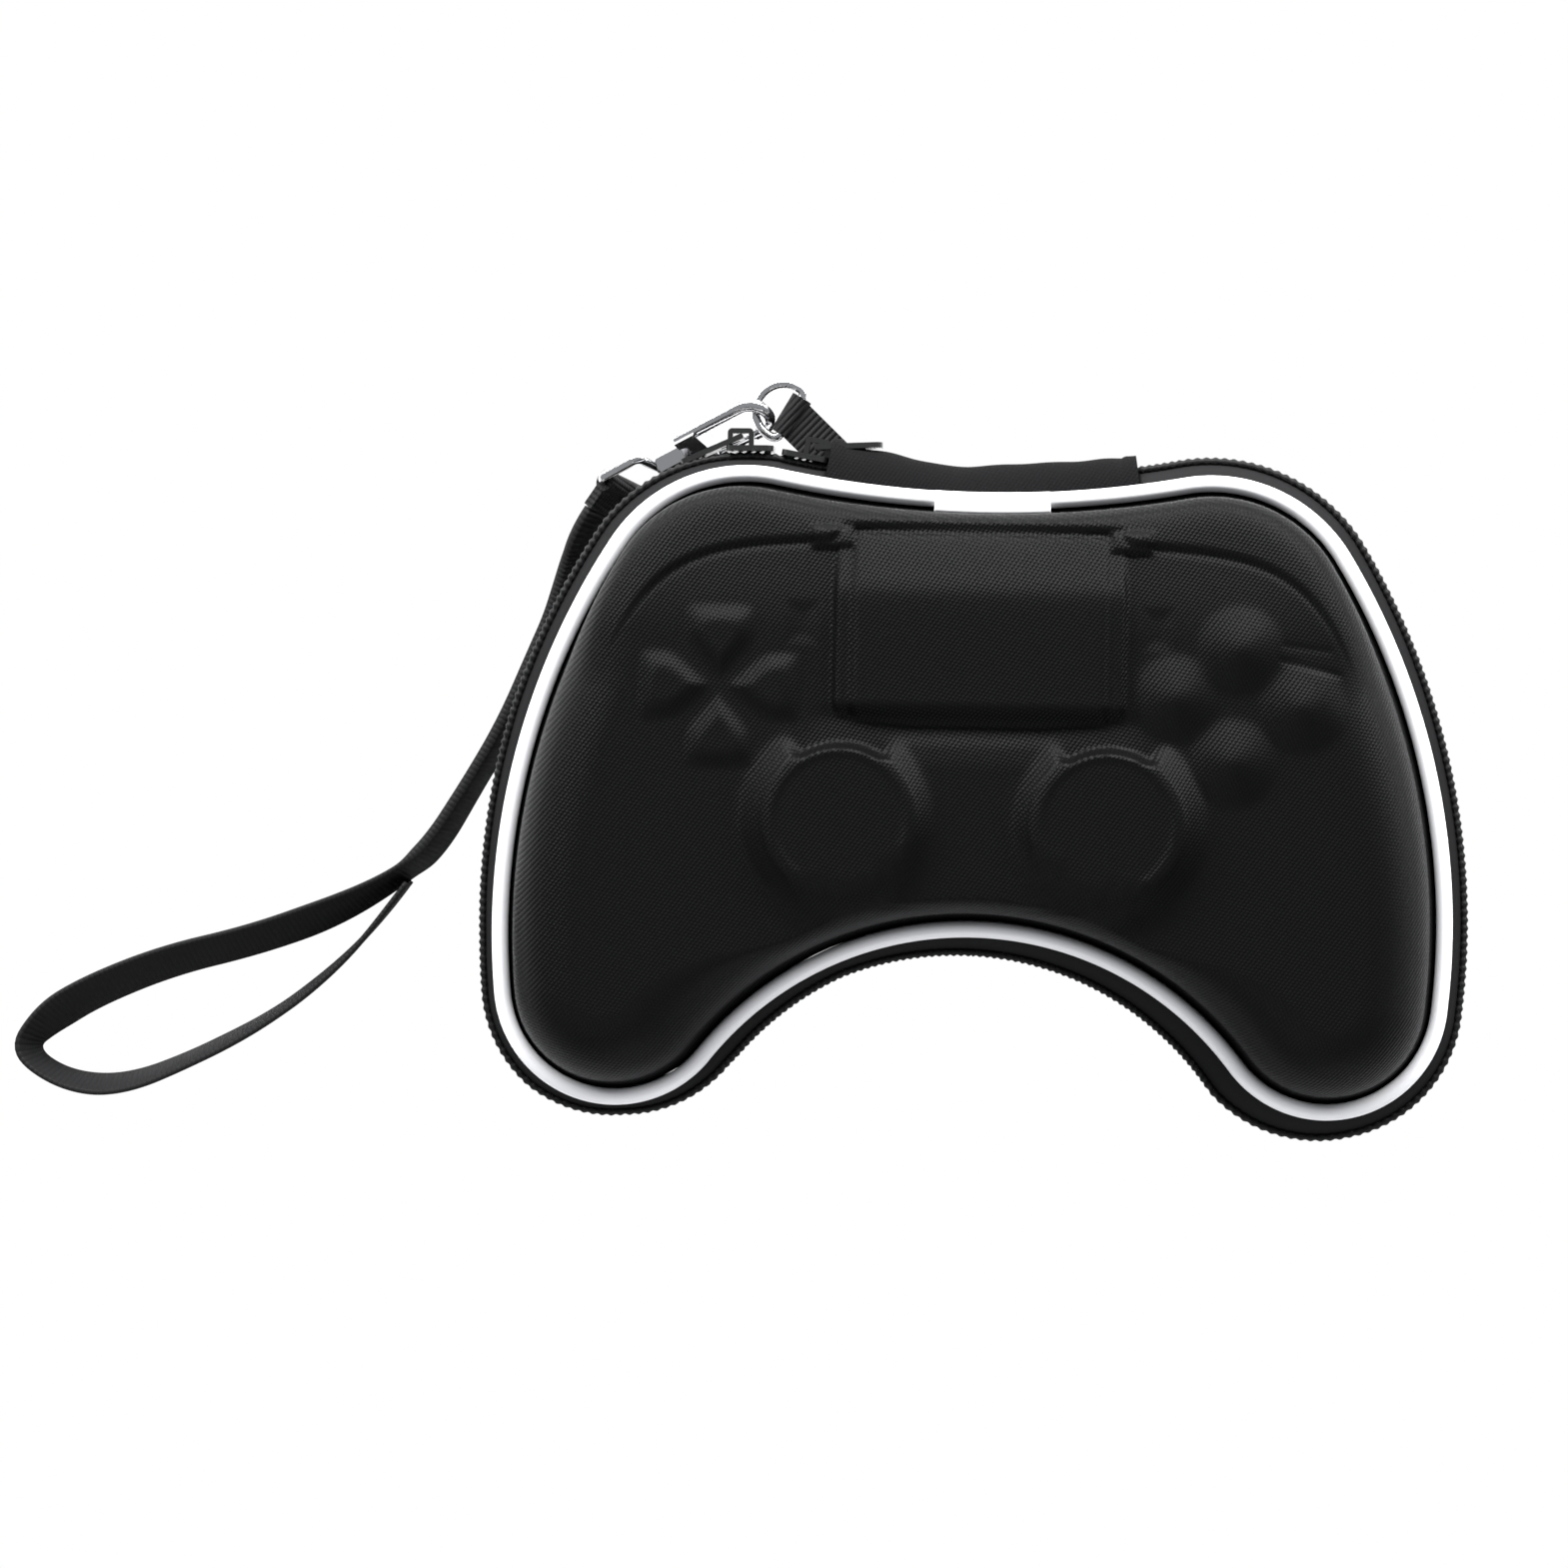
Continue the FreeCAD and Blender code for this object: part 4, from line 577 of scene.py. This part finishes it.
def cushion(wall_rows, round_rows, flat_rows, patch_rows, skin):
    """Points and quads of the lid's skin, moved inwards by skin. Rows run up the wall, round a superellipse
    that is squarer at the back, and in to the inset line. The patch inside it joins its front and back
    halves by straight columns."""
    rim, out, _ = loop(LID_COUNT, WALL_INSET + TOP_INSET, LID_COUNT * LID_SPLIT)
    reach = round_depth(rim)[None, :]
    up = np.linspace(0, 1, wall_rows, endpoint=False)[:, None] * np.ones((1, LID_COUNT))
    level = np.linspace(0, 1, flat_rows)[:, None]
    power = 2 / (2 + SQUARER_BACK * smooth(rim[:, 1], *SQUARER_AT))[None, :]
    halfway = 0.5 ** (power / 2)
    steep = np.linspace(0, 1, round_rows // 4, endpoint=False)[:, None]
    shallow = np.linspace(0, 1, round_rows - round_rows // 4, endpoint=False)[:, None]
    turn = np.concatenate([np.arcsin((steep * halfway) ** (1 / power)),
                           np.arccos((halfway * (1 - shallow)) ** (1 / power))])
    curve = (reach - WALL_LEAN) * (1 - np.cos(turn) ** power)
    deep = np.concatenate([WALL_LEAN * up, WALL_LEAN + curve, reach + (TOP_INSET - reach) * level])
    share = np.concatenate([0 * up, np.sin(turn) ** power, np.ones((flat_rows, LID_COUNT))])
    lift = np.concatenate([up - 1, 0 * share[wall_rows:]])
    inset = WALL_INSET + np.minimum(deep + skin, TOP_INSET + skin * 0.02)
    flat = rim[None] - out[None] * inset[..., None]
    top = lid_relief(flat[..., 0], flat[..., 1]) - skin
    height = LID_SPRING + (top - LID_SPRING) * share + lift * (LID_SPRING - LID_FOOT)
    ring = np.concatenate([flat, height[..., None]], axis=-1)
    rows = len(ring)
    half = LID_COUNT // 2
    last = (rows - 1) * LID_COUNT + np.arange(LID_COUNT)
    front = last[:half]
    back = last[:half - 1:-1]
    t = np.linspace(0, 1, patch_rows + 2)[1:-1, None, None]
    inner = ring[-1, :half, :2][None] * (1 - t) + ring[-1, :half - 1:-1, :2][None] * t
    inner = np.concatenate([inner, (lid_relief(inner[..., 0], inner[..., 1]) - skin)[..., None]], axis=-1)
    index = np.arange(patch_rows * half).reshape(patch_rows, half) + rows * LID_COUNT
    index = np.concatenate([front[None], index, back[None]])
    quads = np.stack([index[:-1, :-1], index[:-1, 1:], index[1:, 1:], index[1:, :-1]], axis=-1)
    points = np.concatenate([ring.reshape(-1, 3), inner.reshape(-1, 3)])
    return points, np.concatenate([grid(rows, LID_COUNT, (False, True)), quads.reshape(-1, 4)])


def lid_cover():
    """The lid's outer and inner skins, joined at their feet."""
    outer, outer_quads = cushion(wall_rows=5, round_rows=30, flat_rows=4, patch_rows=108, skin=0.0)
    inner, inner_quads = cushion(wall_rows=2, round_rows=4, flat_rows=2, patch_rows=14, skin=SKIN)
    foot = np.arange(LID_COUNT)
    beneath = foot + len(outer)
    edge = np.stack([foot, beneath, np.roll(beneath, -1), np.roll(foot, -1)], axis=-1)
    faces = [outer_quads, inner_quads[:, ::-1] + len(outer), edge]
    lid = mesh_object("lid_cover", np.concatenate([outer, inner]), faces, TWILL)
    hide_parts("lid_shell")
    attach(lid, "lid")


lid_cover()


# Trim round the rim
def trim(name, section_at, count, material, body, replaced, part=None):
    """Closed section carried round the rim, or round the part of it where part is true. section_at gives,
    for the rim's points and their runs, how far out and how high the section's points are: two arrays
    (count, section)."""
    points, normals, run = loop(count)
    if part is not None:
        keep = part(points)
        first = int(np.argmax(keep & ~np.roll(keep, 1)))
        order = (np.arange(count) + first) % count
        order = order[keep[order]]
        points, normals, run = points[order], normals[order], run[order]
    away, high = section_at(points, run)
    flat = points[:, None] + normals[:, None] * away[..., None]
    solid = np.concatenate([flat, high[..., None]], axis=-1)
    whole = part is None
    obj = surface(name, solid, material, wrap=(whole, True), caps=not whole, flip=True)
    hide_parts(replaced)
    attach(obj, body)


PIPE_RADIUS = 1.65
PIPE_COUNT = 900
SLEEVE_COUNT = 1800
SLEEVE_ENDS = (-9.3, 13.9)
SLEEVE_WIDE = 2.25
SLEEVE_TALL = 2.15
SLEEVE_OUT = -0.6
SLEEVE_UP = 0.1
SLEEVE_POWER = 0.35


def cord_section(level):
    """Round piping."""
    turn = np.linspace(0, 2 * math.pi, 16, endpoint=False)

    def at(points, run):
        ones = np.ones((len(points), 1))
        return ones * (np.cos(turn) * PIPE_RADIUS), ones * (level + np.sin(turn) * PIPE_RADIUS)
    return at


def sleeve_section(points, run):
    """Rounded box round the piping: a superellipse whose middle stands a little inside the rim."""
    turn = np.linspace(0, 2 * math.pi, 32, endpoint=False)
    ones = np.ones((len(points), 1))
    away = SLEEVE_OUT + squared(np.cos(turn), SLEEVE_POWER) * SLEEVE_WIDE
    high = LID_RIM + SLEEVE_UP + squared(np.sin(turn), SLEEVE_POWER) * SLEEVE_TALL
    return ones * away, ones * high


def at_sleeve(points):
    """True where the sleeve covers the piping's joint."""
    return (points[:, 0] > SLEEVE_ENDS[0]) & (points[:, 0] < SLEEVE_ENDS[1]) & (points[:, 1] > 0)


trim("lid_piping_cord", cord_section(LID_RIM), PIPE_COUNT, PIPING, "lid", "lid_piping")
trim("base_piping_cord", cord_section(BASE_RIM), PIPE_COUNT, PIPING, "base", "base_piping")
trim("lid_sleeve", sleeve_section, SLEEVE_COUNT, SLEEVE, "lid", "lid_piping_sleeve", at_sleeve)

# Zip tape and coil. BAND_OUT is how far out the chain stands at the shares BAND_AT of the rim's length,
# which run from the notch's middle round the right lobe
BAND_AT = [0, 0.08, 0.11, 0.15, 0.2, 0.3, 0.43, 0.47, 0.53,
           0.548, 0.59, 0.63, 0.7, 0.78, 0.83, 0.86, 0.9, 0.95, 1]
BAND_OUT = [5.5, 7.0, 7.4, 5.8, 5.0, 5.1, 5.6, 5.4, 5.2,
            4.65, 4.65, 5.6, 5.7, 4.9, 5.0, 4.0, 5.2, 4.6, 5.5]
TAPE_COUNT = 900
TAPE_THICK = 1.0
SEAM_OUT = -1.2
SEAM_RISE = 4.6
SEAM_GAP = 0.1
COIL_COUNT = 2100
COIL_DEEP = 1.5
COIL_RISE = 1.35
COIL_HALF = 1.2
COIL_PITCH = 1.56
COIL_SWELL = 0.2
SPINE_HALF = 31.5


def band(run):
    """How far out the chain stands at each run."""
    return np.interp(run / RIM_LENGTH, BAND_AT, BAND_OUT)


def open_rim(points):
    """True off the spine, where the zip runs. It goes a little way under the spine's ends."""
    return (np.abs(points[:, 0]) > SPINE_HALF - 0.3) | (points[:, 1] < 0)


def tape_section(way):
    """Quarter round of tape from the seam under the piping out and down, or up, to the chain."""
    turn = np.linspace(0, math.pi / 2, 9)[None]

    def at(points, run):
        wide = band(run)[:, None] - COIL_DEEP * 0.6 - SEAM_OUT
        away = [SEAM_OUT + (wide - skin) * np.sin(turn) for skin in (0.0, TAPE_THICK)]
        high = [(SEAM_RISE - skin) * np.cos(turn) + SEAM_GAP + 0 * wide for skin in (0.0, TAPE_THICK)]
        away = np.concatenate([away[0], away[1][:, ::-1]], axis=1)
        high = np.concatenate([high[0], high[1][:, ::-1]], axis=1)
        if way > 0:
            away, high = away[:, ::-1], high[:, ::-1]
        return away, ZIP_LEVEL + way * high
    return at


def coil_section(way):
    """Bead with a tooth every pitch: its height and depth swell and shrink along the run."""
    turn = np.linspace(0, 2 * math.pi, 8, endpoint=False)[None]

    def at(points, run):
        swell = 1 + COIL_SWELL * np.cos(2 * math.pi * run / COIL_PITCH)[:, None]
        middle = band(run)[:, None] - COIL_DEEP / 2
        return (middle + np.cos(turn) * COIL_DEEP / 2 * swell,
                ZIP_LEVEL + way * COIL_RISE + np.sin(turn) * COIL_HALF * (0.6 + 0.4 * swell))
    return at


for half, way in (("lid", 1), ("base", -1)):
    trim(f"{half}_tape", tape_section(way), TAPE_COUNT, TAPE, half, f"{half}_zip_tape", open_rim)
    trim(f"{half}_coil", coil_section(way), COIL_COUNT, COIL, half, f"{half}_zip_coil", open_rim)

# Spine: how far out it stands along X, its hems and its wrinkles
SPINE_AT = [-31.5, -22.0, -6.0, 10.0, 24.0, 31.5]
SPINE_OUT = [9.6, 8.9, 7.2, 8.0, 8.0, 7.6]
HEM_RISE = 0.45
HEM_EDGE = (2.2, 3.0)
WRINKLE = 0.1
BULGE_POWER = 0.8


def spine_points():
    """Half round of cloth between the two rims. Across it runs the angle from the lid's seam to the base's,
    and along X a fine wrinkle and a raised hem at each end."""
    x = np.linspace(-SPINE_HALF, SPINE_HALF, 127)[:, None]
    turn = np.linspace(0, math.pi, 31)[None]
    out = blended(x[:, 0], SPINE_AT, SPINE_OUT)[:, None]
    hem = HEM_RISE * (1 - smooth(SPINE_HALF - np.abs(x), *HEM_EDGE)) * np.sin(turn)
    wrinkle = WRINKLE * np.sin(x * 0.55 + 3.0 * np.cos(turn)) * np.sin(turn)
    bulge = np.sin(turn) ** BULGE_POWER
    outer = SEAM_OUT + (out - SEAM_OUT) * bulge + wrinkle + hem
    inner = SEAM_OUT + (out - SEAM_OUT - TAPE_THICK) * bulge + wrinkle
    away = np.concatenate([outer, inner[:, ::-1]], axis=1)
    high = [ZIP_LEVEL + (SEAM_RISE - skin) * np.cos(turn) + 0 * x for skin in (0.0, TAPE_THICK)]
    high = np.concatenate([high[0], high[1][:, ::-1]], axis=1)
    spin = np.arcsin(x / DIP_RADIUS)
    reach = DIP_RADIUS - away
    return np.stack([reach * np.sin(spin), DIP_APEX + DIP_RADIUS - reach * np.cos(spin), high], axis=-1)


spine = surface("spine_cloth", spine_points(), SPINE, wrap=(False, True), caps=True)
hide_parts("spine_fabric")
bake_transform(spine)

# Strap: its line is a spline through given control points, in millimetres. LEAN is how many degrees
# its width leans from upright at the runs LEAN_AT. Up to the split it is two plies thick
STRAP = [
    (-78.9, 55.3, 12.7), (-81.7, 51.3, 11.6), (-84.2, 45.6, 8.0), (-88.0, 36.0, 5.6),
    (-92.4, 25.6, 5.3), (-98.2, 12.2, 5.3), (-105.6, -0.8, 5.3), (-113.6, -14.6, 5.2),
    (-122.0, -21.4, 4.9), (-134.6, -28.2, 4.6), (-150.6, -34.2, 4.5), (-168.2, -38.8, 4.5),
    (-184.0, -45.6, 4.7), (-192.8, -51.4, 4.9), (-198.2, -58.0, 5.0), (-188.8, -64.2, 5.2),
    (-176.6, -65.0, 5.3), (-160.8, -58.2, 5.3), (-145.4, -49.6, 5.3), (-132.8, -39.2, 5.3),
    (-124.0, -29.2, 5.3), (-118.5, -21.4, 5.3),
]
STRAP_SPLIT = 84.0
STRAP_WIDTH = 9.8
PLY = 1.2
STRAP_STEP = 0.8
FLOOR_GAP = 0.1
LEAN_AT = [0, 10, 28, 60, 82, 112, 162, 178, 194, 216, 236, 268]
LEAN = [-37, -33, -17, -10, -16, -38, -41, -13, -20, -16, -12, -4]


def spline(name, control):
    """Points along a quadratic NURBS curve, in millimetres."""
    curve = bpy.data.curves.new(name, "CURVE")
    curve.dimensions = "3D"
    line = curve.splines.new("NURBS")
    line.points.add(len(control) - 1)
    for point, place in zip(line.points, control):
        point.co = (*(c * MM for c in place), 1.0)
    line.order_u = 3
    line.use_endpoint_u = True
    line.resolution_u = 24
    obj = bpy.data.objects.new(name, curve)
    bpy.context.scene.collection.objects.link(obj)
    bpy.context.view_layer.update()
    found = obj.evaluated_get(bpy.context.evaluated_depsgraph_get())
    mesh = bpy.data.meshes.new_from_object(found)
    points = np.array([v.co for v in mesh.vertices]) / MM
    bpy.data.meshes.remove(mesh)
    bpy.data.objects.remove(obj)
    bpy.data.curves.remove(curve)
    return points


def even(points, step):
    """The same line with points at equal steps, and their runs."""
    gaps = np.linalg.norm(np.diff(points, axis=0), axis=1)
    length = np.concatenate([[0], np.cumsum(gaps)])
    keep = np.concatenate([[True], gaps > 1e-9])
    stops = np.linspace(0, length[-1], int(length[-1] / step) + 1)
    return np.stack([np.interp(stops, length[keep], points[keep, k]) for k in range(3)], axis=-1), stops


def ribbon_section(width, thick, steps=5):
    """Flat bar with half-round edges: (across the width, through the thickness)."""
    turn = np.linspace(-math.pi / 2, math.pi / 2, steps)
    edge = np.stack([np.cos(turn), np.sin(turn)], axis=-1) * thick / 2
    right = edge + [width / 2 - thick / 2, 0]
    return np.concatenate([right, -right])


def strap_webbing():
    """The strap's section carried along its line, its width leaned from upright about the line."""
    strap_line, run = even(spline("strap_line", STRAP), STRAP_STEP)
    along = unit(np.gradient(strap_line, axis=0))
    level = unit(np.stack([-along[:, 1], along[:, 0], 0 * along[:, 0]], axis=-1))
    up = np.cross(level, along)
    up *= np.sign(up[:, 2:])
    lean = np.radians(blended(run, LEAN_AT, LEAN))[:, None]
    across = up * np.cos(lean) + level * np.sin(lean)
    plies = 2 - smooth(run, STRAP_SPLIT - 3, STRAP_SPLIT + 3)
    through = np.cross(along, across) * plies[:, None]
    section = ribbon_section(STRAP_WIDTH, PLY)
    points = (strap_line[:, None] + across[:, None] * section[None, :, :1]
              + through[:, None] * section[None, :, 1:])
    points[..., 2] += np.maximum(FLOOR_GAP - points[..., 2].min(axis=1), 0)[:, None]
    uv = np.stack(np.broadcast_arrays(run[:, None], section[None, :, 0]), axis=-1)
    strap = surface("strap_webbing", points, WEBBING, wrap=(False, True), caps=True, uv=uv)
    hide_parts("wrist_strap")
    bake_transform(strap)


strap_webbing()

# Floor, light and camera
WHITE = (1.0, 1.0, 1.0, 1.0)
PAPER_GREY = (0.75, 0.75, 0.75, 1.0)
SKY_BLUE = (0.95, 0.97, 1.0, 1.0)
SKY_STRENGTH = 0.45
FLOOR_HALF = 2500.0
FLOOR_LEVEL = -0.2
AIM = (0, 0, 58)


def shown(graph, seen, lit, output):
    """One shader for the camera's own rays and another for all the rest."""
    ray = Val.node(graph, "ShaderNodeLightPath", "Is Camera Ray")
    mixed = Val.node(graph, "ShaderNodeMixShader", 0, [(0, ray), (1, lit), (2, seen)])
    connect(graph, mixed, output.inputs[0])


def floor_material():
    """Plain white to the camera, and a pale surface for everything else."""
    material = bpy.data.materials.new("floor_white")
    material.use_nodes = True
    graph = material.node_tree
    graph.nodes.remove(graph.nodes["Principled BSDF"])
    glow = Val.node(graph, "ShaderNodeEmission", 0, [("Color", WHITE)])
    paper = Val.node(graph, "ShaderNodeBsdfDiffuse", 0, [("Color", PAPER_GREY)])
    shown(graph, glow, paper, graph.nodes["Material Output"])
    return material


def studio_world():
    """White to the camera, and a soft pale light for everything else."""
    world = bpy.data.worlds.new("studio")
    world.use_nodes = True
    graph = world.node_tree
    graph.nodes.remove(graph.nodes["Background"])
    backdrop = Val.node(graph, "ShaderNodeBackground", 0, [("Color", WHITE)])
    sky = Val.node(graph, "ShaderNodeBackground", 0, [("Color", SKY_BLUE), ("Strength", SKY_STRENGTH)])
    shown(graph, backdrop, sky, graph.nodes["World Output"])
    return world


def lamp(name, place, wide, deep, watts):
    """Area light at a place, in millimetres, aimed at the middle of the lid's top."""
    light = bpy.data.lights.new(name, "AREA")
    light.shape = "RECTANGLE"
    light.size = wide * MM
    light.size_y = deep * MM
    light.energy = watts
    obj = bpy.data.objects.new(name, light)
    bpy.context.scene.collection.objects.link(obj)
    obj.location = Vector(place) * MM
    obj.rotation_mode = "QUATERNION"
    obj.rotation_quaternion = (Vector(place) - Vector(AIM)).to_track_quat("Z", "Y")


sides = np.array([-FLOOR_HALF, FLOOR_HALF])
corners = np.stack([*np.meshgrid(sides, sides), np.full((2, 2), FLOOR_LEVEL)], axis=-1)
floor = surface("floor", corners, floor_material())
bpy.context.scene.world = studio_world()
lamp("key", (0, 660, 370), 3000, 180, 54.0)
lamp("fill", (0, -700, 520), 900, 200, 2.5)

# The camera looks straight down beside the case's middle, and its frame is shifted left
DISTANCE = 800.0
ACROSS = 310.7
SENSOR = 36.0
ROLL = math.radians(1.28)
EYE = np.array([30.0, 0.0])
MIDDLE = np.array([-37.94, 0.65])
camera = bpy.data.cameras.new("camera")
camera.sensor_width = SENSOR
camera.lens = SENSOR * DISTANCE / ACROSS
offset = MIDDLE - EYE
camera.shift_x = float(offset @ [math.cos(ROLL), math.sin(ROLL)]) / ACROSS
camera.shift_y = float(offset @ [-math.sin(ROLL), math.cos(ROLL)]) / ACROSS
viewer = bpy.data.objects.new("camera", camera)
viewer.location = (EYE[0] * MM, EYE[1] * MM, (LID_RIM + DISTANCE) * MM)
viewer.rotation_euler = (0, 0, ROLL)
bpy.context.scene.collection.objects.link(viewer)
bpy.context.scene.camera = viewer
bpy.context.scene.view_settings.view_transform = "Standard"
